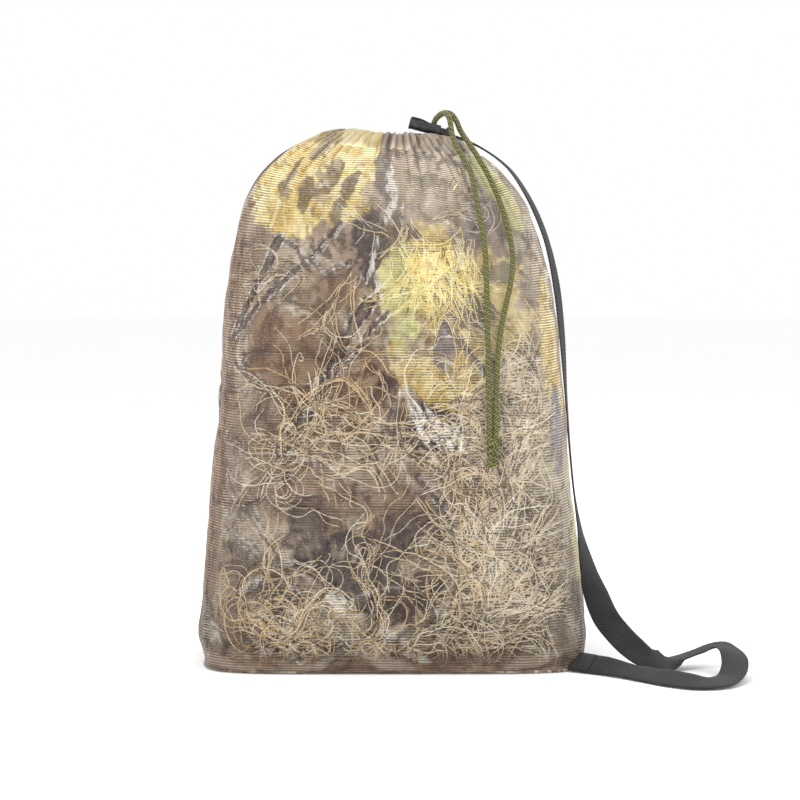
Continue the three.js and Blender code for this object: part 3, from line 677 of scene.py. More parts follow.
# place, and its way across
STRAP_STATIONS = [
    ((29.36, 16, 408.35), (0, 1, 0)),
    ((33, 16, 408.1), (0, 1, 0)), ((43, 17, 408.8), (.05, 1, -.05)), ((56, 18, 405.5), (.1, 1, -.05)),
    ((74, 18, 396.5), (.15, 1, 0)), ((91, 17, 383), (.2, 1, 0)), ((103, 15, 366), (.25, 1, 0)),
    ((113, 13, 346.5), (.3, 1, -.05)), ((121.5, 11, 323), (.3, 1, -.1)), ((128.5, 10, 290), (.35, 1, -.1)),
    ((133, 9, 250), (.3, 1, -.15)), ((136, 7, 205), (.15, 1, -.15)), ((139, 4, 162), (.1, 1, -.15)),
    ((142.5, 0, 126), (.1, 1, -.15)), ((146.5, -8, 99), (.25, 1, -.1)), ((152, -24, 70), (.6, .8, .1)),
    ((156, -36, 54), (.8, .5, .35)), ((162.5, -54, 37), (.75, .25, .6)), ((170.5, -66, 27), (.7, .35, .6)),
    ((179, -77, 19), (.7, .4, .6)), ((190, -86, 11.5), (.65, .6, .45)), ((201.5, -84, 9), (.4, .85, .35)),
    ((214, -72, 8), (0, 1, 0)), ((227.5, -66, 11), (-.05, 1, 0)), ((240, -68, 16), (-.1, 1, 0)),
    ((248, -77, 18.5), (.15, 1, 0)), ((253, -90, 17.5), (.7, .7, -.05)), ((254, -104, 14), (1, 0, -.05)),
    ((251.5, -119, 9), (.85, -.5, -.1)), ((246, -132, 5), (.6, -.8, -.1)),
    ((235.5, -145, 4), (.3, -.95, -.15)), ((221, -148, 4.5), (.1, -.95, -.3)),
    ((205, -138, 5), (0, -.95, -.3)), ((189, -120, 4.5), (-.1, -.95, -.25)),
    ((175.5, -105, 4.5), (-.1, -.95, -.25)),
    ((164, -95, 5.5), (-.1, -.9, -.4)), ((157, -90, 6), (-.1, -.85, -.5)),
    ((149.44, -85.12, 6.28), (-.1, -.85, -.5)),
]
WEBBING_RIDGES = 0.1
WEBBING_RIDGE_PITCH = 3.2


def band(name, places, ways, width, thickness):
    """A flat strap with round edges through places, each with its way across."""
    places = np.asarray(places, float)
    line = centripetal(places, CORD_STEP)
    marks, along = distances(places), distances(line)
    at = along / along[-1] * marks[-1]
    ways = np.stack([np.interp(at, marks, np.asarray(ways, float)[:, axis]) for axis in range(3)], axis=1)
    run = np.gradient(line, axis=0)
    run /= np.linalg.norm(run, axis=1)[:, None]
    ways -= run * (ways * run).sum(1)[:, None]
    ways /= np.linalg.norm(ways, axis=1)[:, None]
    up = np.cross(ways, run)
    flat = np.linspace(-1, 1, 13)
    profile = [(u, 1.0) for u in flat] + [(u, -1.0) for u in flat[::-1]]
    across = np.array([u for u, _ in profile]) * width / 2
    face = np.array([f for _, f in profile])
    edge = 1 - 0.45 * np.abs(across / (width / 2)) ** 6
    selvedge = 0.12 * (np.abs(np.abs(across) - width / 2 * 0.83) < width * 0.045)
    thick = face * (thickness / 2 - WEBBING_RIDGES) * edge
    slant = along[:, None] + 0.7 * np.abs(across)[None]
    ribs = WEBBING_RIDGES * np.sin(2 * math.pi * slant / WEBBING_RIDGE_PITCH)
    offset = thick[None] + face[None] * (ribs - selvedge[None])
    rings = line[:, None] + across[None, :, None] * ways[:, None] + offset[..., None] * up[:, None]
    obj = loft(name, rings, WEBBING, flip=True)
    attribute(obj, "lay", np.stack([
        np.tile(across, len(line)), np.tile(face, len(line)), np.repeat(along, len(profile)),
    ], axis=1))
    return obj, line


strap, strap_line = band("strap", *zip(*STRAP_STATIONS), STRAP_WIDTH, STRAP_THICKNESS)
belongs(strap, "bag", "webbing", "shoulder_strap")

STRAP_END_LENGTH = 14
STRAP_END_THICKNESS = 3.2
CORNER_WAY_OUT = np.array((0.83, -0.55, -0.05))
CORNER_WAY_OUT /= np.linalg.norm(CORNER_WAY_OUT)
corner = np.array(STRAP_STATIONS[-1][0]) - CORNER_WAY_OUT * (STRAP_END_LENGTH + GAP)
end_spans = {
    "top": (
        [casing_place((x, 16, GAP + STRAP_END_THICKNESS / 2)) for x in (LOOP_HALF[0] - 14, 22, LOOP_HALF[0])],
        [(0, 1, 0)] * 3,
    ),
    "bottom": (
        [corner + CORNER_WAY_OUT * reach for reach in (-1.5, 6, STRAP_END_LENGTH)],
        [(-.1, -.85, -.5)] * 3,
    ),
}
for where, (places, ways) in end_spans.items():
    piece, _ = band(f"strap_end_{where}_fold", places, ways, STRAP_WIDTH, STRAP_END_THICKNESS - 0.2)
    belongs(piece, "bag", "webbing", f"strap_end_{where}")

# ---------------------------------------------------------------- the bag's skin

PLEATS = 26
PLEAT_DEPTH = 3.0
PLEAT_SINK = 0.45
PLEAT_TOP = 398
SHORTEST_PLEAT = 16
LONGEST_PLEAT = 121
# how far the cloth's lumps, small lumps, creases and slack foot move it, mm
LUMP = 2.6
SMALL_LUMP = 1.2
CREASE = 1.4
SLACK = 1.1
# the cloth lies flat within the first distance of a cord, and is free past the second
CORD_REACH = (7, 24)
FLAT_BY_CORD = 0.2
MOST_OUT = 8
MOST_IN = -1.0
ARC_STEPS = 1441
AT_A_TIME = 20000
cord_points = np.vstack([tail_lines["a"][::6], tail_lines["b"][::6], strap_line[::8]])


def arc_row(z, facing, inset, columns):
    """Points along half a section at one height, evenly spaced, from left to right."""
    half_width, half_depth, middle, power = section(z, inset)
    t = np.linspace(0, math.pi, ARC_STEPS)
    x = -half_width * np.sign(np.cos(t)) * np.abs(np.cos(t)) ** (2 / power)
    y = facing * half_depth * np.abs(np.sin(t)) ** (2 / power)
    arc = np.r_[0, np.cumsum(np.hypot(np.diff(x), np.diff(y)))]
    at = np.linspace(0, arc[-1], columns)
    x, y = np.interp(at, arc, x), np.interp(at, arc, y)
    return middle + x, y, at - arc[-1] / 2


def half_skin(facing, inset, heights, columns):
    """A grid of points on half the outline, with its cloth places across and up."""
    rows = [arc_row(z, facing, inset, columns) for z in heights]
    x, y, u = (np.stack([row[i] for row in rows]) for i in range(3))
    z = np.repeat(np.asarray(heights, float)[:, None], columns, axis=1)
    points = np.stack([x, y, z], axis=-1)
    rise = np.linalg.norm(np.diff(points, axis=0), axis=2)
    return points, u, np.vstack([np.zeros((1, columns)), np.cumsum(rise, axis=0)])


def outward(points):
    """Unit normals of a grid of points, pointing away from the bag's axis."""
    across = np.gradient(points, axis=1)
    rise = np.gradient(points, axis=0)
    n = np.cross(across, rise)
    n /= np.maximum(np.linalg.norm(n, axis=-1), 1e-9)[..., None]
    away = points.copy()
    away[..., 2] = 0
    flip = np.where((n * away).sum(-1) < 0, -1.0, 1.0)
    return n * flip[..., None]


def pleats(share, z, facing):
    """The gathers that run down from the mouth: how round each one is, its strength, and its valley's."""
    side = 0 if facing < 0 else 50
    place = PLEATS * share + 0.9 * noise(share * 6, z / 130, 3 + side)
    wave = np.abs(np.sin(math.pi * place)) ** 0.65
    strengths = []
    for number in (np.floor(place), np.round(place)):
        deep = lattice(number, 0 * number, 9 + side)
        length = SHORTEST_PLEAT + (LONGEST_PLEAT - SHORTEST_PLEAT) * deep ** 2.2
        strengths.append(smooth(0, 1, (z - PLEAT_TOP + length) / length) * (0.55 + 0.6 * deep))
    return wave, *strengths


def paler_places(u, z, facing):
    """How far the colour is made paler: at the front's lower right, and under the mouth."""
    # paler at the front's lower right and under the mouth, lying in the same share as the painted highlight
    right = 0.32 * smooth(20, 90, u) * smooth(14, 60, z)
    top = 0.6 * np.exp(-((u - 24) / 45) ** 2 - ((z - 365) / 32) ** 2)
    return np.where(np.asarray(facing) < 0, np.maximum(right, top), 0.0)


def folds(u, z, share, facing):
    """How far the cloth stands out from the outline, in mm, and its painted shade, painted highlight and
    gathered shares.
    """
    side = 0 if facing < 0 else 50
    wave, ridge, valley = pleats(share, z, facing)
    gather = PLEAT_DEPTH * (ridge * wave - PLEAT_SINK * smooth(300, 396, z))
    lumps = LUMP * (0.4 + fractal(u / 62, z / 52, 21 + side, 2)) * smooth(0, 30, z) * smooth(405, 330, z)
    small = SMALL_LUMP * fractal(u / 21, z / 26, 31 + side, 3) * smooth(0, 20, z) * smooth(400, 350, z)
    crease_line = fractal(u / 60 + 0.3 * z / 60, z / 170, 41 + side, 2)
    crease = np.exp(-(crease_line / 0.028) ** 2) * smooth(5, 40, z) * smooth(395, 320, z)
    crease = crease * smooth(-0.1, 0.3, noise(u / 50, z / 60, 45 + side))
    slack = np.sin(z / 6.5 + 3.5 * noise(u / 34, z / 60, 51 + side)) * smooth(44, 12, z) * smooth(0, 5, z)
    out = gather + np.maximum(lumps, -0.4) + small - CREASE * crease + SLACK * slack
    # painted shade in the pleat valleys, the creases and the troughs of the slack foot
    dark = np.maximum(smooth(0.6, 0.05, wave) * valley, 0.55 * crease)
    dark = np.maximum(dark, 0.4 * smooth(0.4, 1.0, -slack))
    # painted highlight on the pleat ridges and the crests of the slack foot, with paler places
    light = np.maximum(smooth(0.75, 1.0, wave) * ridge * 0.7, 0.4 * smooth(0.5, 1.0, slack))
    light = np.maximum(light, paler_places(u, z, facing))
    # darker towards the bottom, most of all along the foot
    dark = dark + 0.42 * smooth(130, 10, z) + 0.12 * smooth(260, 120, z) + 0.3 * smooth(24, 8, z)
    cover = np.maximum(smooth(330, 400, z), 0.9 * smooth(0.22, 0.06, np.minimum(share, 1 - share)))
    return out, np.stack([dark, light, np.maximum(cover, smooth(22, 4, z))], axis=-1)


def skin_offset(points, u, share, facing):
    """The folds, held in near the cords and the strap so that those lie on the cloth."""
    z = points[..., 2]
    out, shape = folds(u, z, share, facing)
    edge = np.minimum(share, 1 - share)
    out = out * smooth(0, 0.03, edge)
    flat = points.reshape(-1, 3)
    near = np.full(len(flat), 1e9)
    for i in range(0, len(flat), AT_A_TIME):
        part = flat[i:i + AT_A_TIME]
        near[i:i + AT_A_TIME] = np.sqrt(((part[:, None] - cord_points[None]) ** 2).sum(-1).min(1))
    near = near.reshape(z.shape)
    return np.clip(out, MOST_IN, FLAT_BY_CORD + MOST_OUT * smooth(*CORD_REACH, near)), shape


FRONT, BACK = -1, 1

# ---------------------------------------------------------------- the printed pattern's masks

GOLD_STAMP, GREEN_STAMP, BROWN_STAMP, DARK_STAMP, WHITE_STAMP, PURPLE_STAMP = range(6)
# place across and up (mm on the front), half length, half width, angle in degrees, raggedness, strength
STAMPS_OF_A_KIND = {
    GOLD_STAMP: [
        (-62, 388, 62, 26, 34, .55, 1), (-78, 352, 34, 26, 20, .6, 1), (-30, 372, 40, 22, 60, .6, .95),
        (-42, 352, 30, 18, 0, .7, .9), (6, 305, 15, 34, 8, .5, .9), (26, 318, 24, 28, 0, .5, .95),
        (33, 262, 16, 34, -5, .6, .8), (78, 292, 30, 26, 30, .9, .9), (92, 262, 24, 20, 0, .9, .8),
        (32, 222, 34, 18, -8, .8, .85), (60, 240, 22, 20, 0, .9, .75), (134, 252, 14, 50, 4, .7, 1),
        (146, 210, 14, 36, 0, .6, .95), (168, 80, 9, 40, 0, .5, .5), (10, 240, 14, 18, 20, .7, .7),
    ],
    GREEN_STAMP: [
        (8, 285, 16, 44, 6, .5, .85), (88, 372, 34, 10, -48, .6, .95), (98, 352, 20, 8, -60, .6, .8),
        (172, 110, 12, 50, 2, .5, .95), (166, 44, 16, 22, 0, .6, .6),
    ],
    BROWN_STAMP: [
        (-84, 240, 30, 40, 20, .8, .8), (-30, 225, 34, 26, -20, .8, .75), (-48, 285, 26, 22, 10, .8, .6),
        (-60, 130, 36, 20, 10, .8, .5), (10, 130, 30, 26, 0, .8, .5), (-140, 260, 16, 80, 0, .6, .55),
        (-150, 130, 14, 90, 0, .6, .6), (64, 150, 30, 34, 0, .8, .4), (-110, 40, 30, 26, 0, .8, .5),
        (0, 8, 150, 9, 0, .4, .7), (-172, 190, 190, 26, 90, .5, .75), (-128, 330, 30, 10, 60, .5, .7),
    ],
    DARK_STAMP: [
        (-16, 322, 15, 26, -14, .7, .85), (8, 336, 20, 12, -20, .8, .7), (-2, 378, 6, 30, 6, .6, .75),
        (-44, 372, 7, 16, -35, 1, .6), (-74, 372, 4, 15, -30, 1, .55), (-52, 392, 4, 13, -45, 1, .5),
        (-36, 348, 5, 14, -35, 1, .55), (-62, 358, 5, 14, -20, 1, .55), (-26, 366, 6, 12, -40, 1, .6),
        (66, 268, 14, 18, 30, .9, .7), (84, 300, 16, 9, 10, .9, .55), (-2, 208, 8, 18, 20, .7, .75),
        (2, 190, 10, 14, 0, .7, .6), (31, 187, 20, 17, 20, .8, .85), (-30, 92, 50, 18, 8, .9, .85),
        (-6, 64, 40, 22, -10, .9, .8), (-66, 112, 16, 24, -20, .9, .7), (8, 108, 26, 18, 30, .9, .7),
        (-92, 60, 14, 26, 10, .9, .6), (52, 40, 26, 14, 0, .9, .6), (-120, 84, 9, 30, 12, .9, .55),
        (-60, 20, 34, 10, 0, .9, .6), (150, 56, 16, 16, 0, .8, .7), (110, 90, 10, 40, 8, .9, .45),
    ],
    PURPLE_STAMP: [
        (142, 180, 12, 34, 0, .6, .85), (166, 30, 14, 22, 0, .6, .8), (72, 342, 16, 26, -10, .6, .45),
        (40, 244, 9, 16, 0, .7, .7),
    ],
    WHITE_STAMP: [
        (4, 366, 2.6, 20.9, 5, .9, .7), (2, 345, 2.2, 11.4, -15, .9, .8), (13, 343, 1.9, 13.3, 8, .9, .8),
        (-12, 312, 2.2, 19.0, -12, .9, .75), (-9, 292, 2.2, 11.4, 4, .9, .75),
        (20, 190, 2.6, 19.0, 30, .6, 1), (27, 188, 2.4, 21.0, 32, .6, 1), (35, 186, 2.6, 20.9, 30, .6, 1),
        (43, 182, 2.2, 19.0, 36, .8, .9), (30, 162, 2.2, 15.2, 36, .8, .6),
        (51, 178, 1.9, 13.3, 36, .8, .6), (-108, 64, 14.4, 3.0, 40, .9, .7),
        (-30, 48, 14.4, 3.0, -10, .9, .7), (1, 28, 11, 5.0, -30, .5, 1), (18, 12, 12, 3.4, -20, .9, .6),
        (-39, 56, 13, 7.0, -28, .5, 1), (-104, 348, 3.0, 11.4, -30, 1, .6),
        (-20, 60, 27.0, 1.8, 14, .9, .45), (-126, 140, 1.9, 38.0, -14, .8, .5),
        (-96, 110, 1.9, 38.0, 30, .8, .4),
    ],
}
STAMPS = [(kind, *stamp) for kind, stamps in STAMPS_OF_A_KIND.items() for stamp in stamps]
# twigs: points across and up on the front, half width
TWIGS = [
    ([(-132, 252), (-112, 280), (-94, 305), (-84, 326)], 3.4),
    ([(-128, 254), (-86, 290), (-60, 312), (-36, 338)], 2.4),
    ([(-16, 279), (-36, 250), (-46, 224), (-60, 200), (-84, 168)], 5.0),
    ([(-4, 272), (-24, 246), (-34, 232)], 2.0), ([(-126, 232), (-104, 216), (-82, 204), (-62, 196)], 2.6),
    ([(-62, 312), (-48, 303), (-30, 308)], 1.8), ([(40, 262), (62, 236), (80, 214)], 2.4),
    ([(-70, 214), (-46, 226), (-20, 250)], 1.4), ([(-134, 150), (-112, 120), (-88, 96), (-70, 60)], 2.0),
    ([(-130, 108), (-96, 86), (-60, 76)], 1.8), ([(20, 150), (44, 118), (52, 84)], 2.2),
    ([(90, 130), (110, 100), (118, 56)], 2.0), ([(-84, 326), (-70, 318), (-62, 306)], 2.2),
    ([(-118, 60), (-92, 36), (-70, 10)], 2.2),
]


def random_stamps(seed, count):
    """Another run of the same print, for the back."""
    rng = np.random.default_rng(seed)
    kinds = [
        GOLD_STAMP, GOLD_STAMP, GREEN_STAMP, BROWN_STAMP, BROWN_STAMP, DARK_STAMP, DARK_STAMP, WHITE_STAMP,
        PURPLE_STAMP,
    ]
    made = []
    for _ in range(count):
        kind = kinds[rng.integers(len(kinds))]
        place = (rng.uniform(-220, 220), rng.uniform(0, 410))
        size = (rng.uniform(10, 34), rng.uniform(8, 30)) if kind != WHITE_STAMP else (3, rng.uniform(8, 24))
        made.append((kind, *place, *size, rng.uniform(-60, 60), rng.uniform(.5, .9), rng.uniform(.5, 1)))
    lines = []
    for _ in range(14):
        start = np.array((rng.uniform(-190, 190), rng.uniform(20, 380)))
        heading = rng.uniform(0, 2 * math.pi)
        points = [tuple(start)]
        for _ in range(4):
            heading += rng.uniform(-.35, .35)
            start = start + 26 * np.array((math.cos(heading), math.sin(heading)))
            points.append(tuple(start))
        lines.append((points, rng.uniform(1.6, 4)))
    return made, lines


BACK_STAMPS, BACK_TWIGS = random_stamps(5, 64)
FRONT_EXTRA, _ = random_stamps(11, 60)
FRONT_EXTRA = [stamp for stamp in FRONT_EXTRA if stamp[1] > 160 and stamp[0] < WHITE_STAMP]


def print_masks(u, z, facing):
    """The six masks of the print at cloth places u, z in mm, as two triples."""
    stamps, twigs = (STAMPS + FRONT_EXTRA, TWIGS) if facing < 0 else (BACK_STAMPS, BACK_TWIGS)
    wx = fractal(u / 16, z / 16, 61, 4, 0.62)
    wz = fractal(u / 16, z / 16, 71, 4, 0.62)
    torn = fractal(u / 9, z / 9, 77, 4, 0.65)
    holes = smooth(-0.42, -0.3, fractal(u / 13, z / 19, 79, 4, 0.6))
    masks = np.zeros((6, *u.shape))
    for kind, cx, cz, length, width, angle, ragged, strength in stamps:
        a = math.radians(angle)
        reach = ragged * 0.75 * max(8.0, min(length, width))
        dx = u - cx + reach * wx
        dz = z - cz + reach * wz
        along = (dx * math.cos(a) + dz * math.sin(a)) / length
        across = (-dx * math.sin(a) + dz * math.cos(a)) / width
        # a leaf: pointed at both ends of its length
        away = np.abs(along) ** 1.5 + np.abs(across) ** 1.7 + 0.5 * ragged * torn
        mask = smooth(1.07, 0.95, away) * strength
        if kind in (GOLD_STAMP, GREEN_STAMP, DARK_STAMP):
            mask = mask * (0.25 + 0.75 * holes)
        masks[kind] = np.maximum(masks[kind], mask)
        if kind in (DARK_STAMP, PURPLE_STAMP):
            masks[GOLD_STAMP] *= 1 - 0.8 * mask
            masks[GREEN_STAMP] *= 1 - 0.6 * mask
    for points, half in twigs:
        p = np.asarray(points, float)
        nearest = np.full(u.shape, 1e9)
        for a, b in zip(p[:-1], p[1:]):
            way = b - a
            t = np.clip(((u - a[0]) * way[0] + (z - a[1]) * way[1]) / way.dot(way), 0, 1)
            side = np.hypot(u - a[0] - t * way[0] + 2.2 * wx, z - a[1] - t * way[1] + 2.2 * wz)
            nearest = np.minimum(nearest, side)
        body = smooth(half + 0.5, half - 0.5, nearest)
        rim = np.exp(-((nearest - half) / 0.75) ** 2)
        dashes = smooth(0.0, 0.3, noise(u / 2.6, z / 2.6, 83))
        core = smooth(half * 0.2, half * 0.8, nearest)
        masks[DARK_STAMP] = np.maximum(masks[DARK_STAMP] * (1 - body * 0.4), body * (0.6 + 0.35 * core))
        masks[WHITE_STAMP] = np.maximum(masks[WHITE_STAMP] * (1 - body), rim * dashes)
        masks[GOLD_STAMP] *= 1 - 0.7 * body
    return masks[[0, 1, 2]], masks[[3, 4, 5]]


def dress(obj, u, v, z, facing, shape=None):
    """Gives a cloth piece its cloth places and the print's masks. facing may be one number at each point."""
    u, v, z = (np.asarray(values, float).ravel() for values in (u, v, z))
    facing = np.broadcast_to(facing, u.shape)
    warm, cool = np.zeros((3, u.size)), np.zeros((3, u.size))
    for way in (FRONT, BACK):
        there = facing == way
        warm[:, there], cool[:, there] = print_masks(u[there], z[there], way)
    attribute(obj, "cloth", np.stack([u, 40.0 * facing, v], axis=1) * MM)
    attribute(obj, "warm", warm.T)
    attribute(obj, "cool", cool.T)
    # shape: shares of painted shade, of painted highlight with paler places, and of cover
    attribute(obj, "shape", np.zeros((u.size, 3)) if shape is None else shape.reshape(-1, 3))


def ring_around(z, inset, columns):
    """A closed ring: the front half from left to right, then the back half from right to left."""
    halves = []
    for facing in (FRONT, BACK):
        x, y, u = arc_row(z, facing, inset, columns)
        share = np.linspace(0, 1, columns)
        half = np.stack([x, y, u, share, np.full(columns, float(facing))])
        halves.append(half[:, :-1] if facing < 0 else half[:, :0:-1])
    return np.concatenate(halves, axis=1)


PANEL_FOOT = 1.8
PANEL_TOP = CASING_TOP - CASING_DEPTH + 0.6


def tilt_drop(x, z):
    """How far the casing's tilt lifts or lowers the cloth under it."""
    return -np.sin(CASING_TILT) * x * smooth(300, PANEL_TOP, z)


TABLE_X = np.arange(-160.0, 161.0, 1.5)
tables = {}
for name, facing, columns, step in (("front", FRONT, 440, 0.9), ("back", BACK, 300, 1.4)):
    heights = np.linspace(PANEL_FOOT, PANEL_TOP, int((PANEL_TOP - PANEL_FOOT) / step))
    points, u, v = half_skin(facing, 0.3, heights, columns)
    z = points[..., 2].copy()
    share = np.repeat(np.linspace(0, 1, columns)[None], len(heights), axis=0)
    offset, shape = skin_offset(points, u, share, facing)
    points = points + outward(points) * offset[..., None]
    tables[facing] = (heights, np.stack([np.interp(TABLE_X, row[:, 0], row[:, 1]) for row in points]))
    points[..., 2] += tilt_drop(points[..., 0], z)
    faces = grid_faces(len(heights), columns)
    obj = make(f"skin_{name}", points, faces if facing < 0 else faces[:, ::-1], MESH)
    dress(obj, u, v, z, facing, shape)
    belongs(obj, "bag", "mesh_cloth", f"bag_{name}_panel")


def skin_y(x, z, facing):
    """Where the skin is, for places across and up on the front or back."""
    heights, table = tables[facing]
    row = np.clip((z - heights[0]) / (heights[1] - heights[0]), 0, len(heights) - 1.001)
    column = np.clip((x - TABLE_X[0]) / (TABLE_X[1] - TABLE_X[0]), 0, len(TABLE_X) - 1.001)
    i, j = row.astype(int), column.astype(int)
    fi, fj = row - i, column - j
    low = table[i, j] * (1 - fj) + table[i, j + 1] * fj
    high = table[i + 1, j] * (1 - fj) + table[i + 1, j + 1] * fj
    return low * (1 - fi) + high * fi


# ---------------------------------------------------------------- gathered casing

# way from the outer foot over the top and down into the mouth: share across, height under the top
CASING_PROFILE = [
    (0.0, -13.2), (0.0, -11.6), (0.0, -9.8), (0.0, -8.0), (0.0, -6.2), (0.0, -4.4), (0.0, -2.9),
    (0.03, -1.6), (0.09, -0.7), (0.18, -0.1), (0.3, 0.3), (0.44, 0.2), (0.58, -0.2), (0.72, -0.2),
    (0.84, 0.1), (0.93, -0.3), (0.985, -1.4), (1.0, -3.0), (1.0, -5.0), (1.0, -7.5),
    (0.97, -10.0), (0.9, -12.2),
]
PLEATS_TOP = 396.0
CASING_COLUMNS = 400
CASING_CRUMPLE = 0.4
HEM_DROP = 9.0
HEM_HALF = 0.9
rings, ring_u, ring_shape = [], [], []
for across, drop in CASING_PROFILE:
    x, y, u, share, facing = ring_around(CASING_TOP + min(drop, -0.6), 0.2, CASING_COLUMNS)
    inner_x = -HOLE_HALF[0] * np.cos(math.pi * share)
    inner_y = facing * HOLE_HALF[1] * np.sin(math.pi * share)
    x = x + (inner_x - x) * across
    y = y + (inner_y - y) * across
    level = np.full_like(share, PLEATS_TOP)
    wave, ridge, valley = (np.where(facing < 0, *pair) for pair in zip(
        pleats(share, level, FRONT), pleats(share, level, BACK)))
    edge = smooth(0, 0.02, np.minimum(share, 1 - share))
    gather = PLEAT_DEPTH * (ridge * wave - PLEAT_SINK) * edge
    out = 1 + gather * (1 - 0.45 * across) / np.maximum(np.hypot(x, y), 7)
    crumple = CASING_CRUMPLE * fractal(x / 9, y / 9 + drop / 12, 97, 2)
    top = 0.25 + 0.75 * math.sin(math.pi * min(1.0, across + 0.15))
    z = drop + (1.1 * gather + crumple) * top * (drop > -4)
    rings.append(casing_place(np.stack([x * out, y * out, z], axis=-1)))
    ring_u.append(u)
    # painted shade in the pleat valleys, and a darker line at the hem
    dark = smooth(0.6, 0.05, wave) * np.maximum(valley, 0.6)
    hem = np.exp(-((drop + HEM_DROP) / HEM_HALF) ** 2) * 0.5
    # painted highlight on the pleat ridges
    light = smooth(0.75, 1, wave) * 0.7
    ring_shape.append(np.stack([np.maximum(dark, hem), light, np.ones_like(x)], axis=-1))
casing = loft("mouth_gathers", rings, MESH, first=False, last=False)
# the cloth's place up is nearly still here, so that no ribs run round the casing
casing_rise = np.repeat(np.arange(len(rings), dtype=float)[:, None], len(share), axis=1)
casing_v = PLEATS_TOP - 0.1 + 0.065 * casing_rise
casing_z = np.minimum(395 + 1.3 * casing_rise, PLEATS_TOP)
dress(casing, np.stack(ring_u), casing_v, casing_z, np.tile(facing, len(rings)), np.stack(ring_shape))
belongs(casing, "bag", "mesh_cloth", "mouth_casing")

# ---------------------------------------------------------------- side seams and base

SEAM_HALF = 3
SEAM_ROW = 1.6
SEAM_BOW = 0.55
SEAM_DEPTH = 1.5
for where, sign in (("left", -1), ("right", 1)):
    heights = np.arange(PANEL_FOOT, CASING_TOP - CASING_DEPTH, SEAM_ROW)
    half_width, _, middle, _ = section(heights, -0.25)
    across = np.linspace(-SEAM_HALF, SEAM_HALF, 7)
    bow = 1 - np.abs(across / SEAM_HALF) ** 4
    x = middle[:, None] + sign * (half_width[:, None] + SEAM_BOW * bow[None])
    shift = 0.5 * noise(heights / 14, 0 * heights, 101)[:, None]
    y = across[None] + shift
    z = heights[:, None] + 0 * across[None]
    drop = tilt_drop(x, z)
    outer = np.stack([x, y, z + drop], axis=-1)
    inner = np.stack([x - sign * SEAM_DEPTH, y, z + drop], axis=-1)[:, ::-1]
    ring = np.concatenate([outer, inner], axis=1)
    seam = loft(f"seam_{where}", ring, SEAM, flip=sign < 0)
    attribute(seam, "cloth", ring.reshape(-1, 3) * MM)
    belongs(seam, "bag", "seam_tape", f"side_seam_{where}")

# how far in from the outline, and how high
BASE_PROFILE = [
    (0.1, 2.6), (-0.5, 1.9), (-0.7, 1.0), (-0.2, 0.35), (1.5, 0.0), (8, 0.1),
    (20, 0.45), (35, 0.2), (50, 0.6), (65, 0.3), (80, 0.5), (92, 0.3),
]
BASE_COLUMNS = 240
base_turn = np.linspace(0, 2 * math.pi, BASE_COLUMNS, endpoint=False)
cos, sin = np.cos(base_turn), np.sin(base_turn)
base_rings = []
for inset, height in BASE_PROFILE:
    half_width, half_depth, middle, power = section(max(height, 0.5), 0)
    keep = max(0.02, 1 - inset / half_depth)
    widen = max(0.02, 1 - inset / half_width)
    x = middle + half_width * widen * np.sign(cos) * np.abs(cos) ** (2 / power)
    y = half_depth * keep * np.sign(sin) * np.abs(sin) ** (2 / power)
    lift = np.maximum(0, 0.3 * fractal(x / 15, y / 15, 111, 2)) * (inset > 1)
    base_rings.append(np.stack([x, y, np.full_like(x, height) + lift], axis=-1))
base_points = np.stack(base_rings)
base = loft("base_cloth", base_points, MESH, flip=True, first=False)
dress(base, base_points[..., 0], base_points[..., 1], base_points[..., 1] + 120, BACK)
belongs(base, "bag", "mesh_cloth", "bag_base_panel")

# ---------------------------------------------------------------- where the threads are

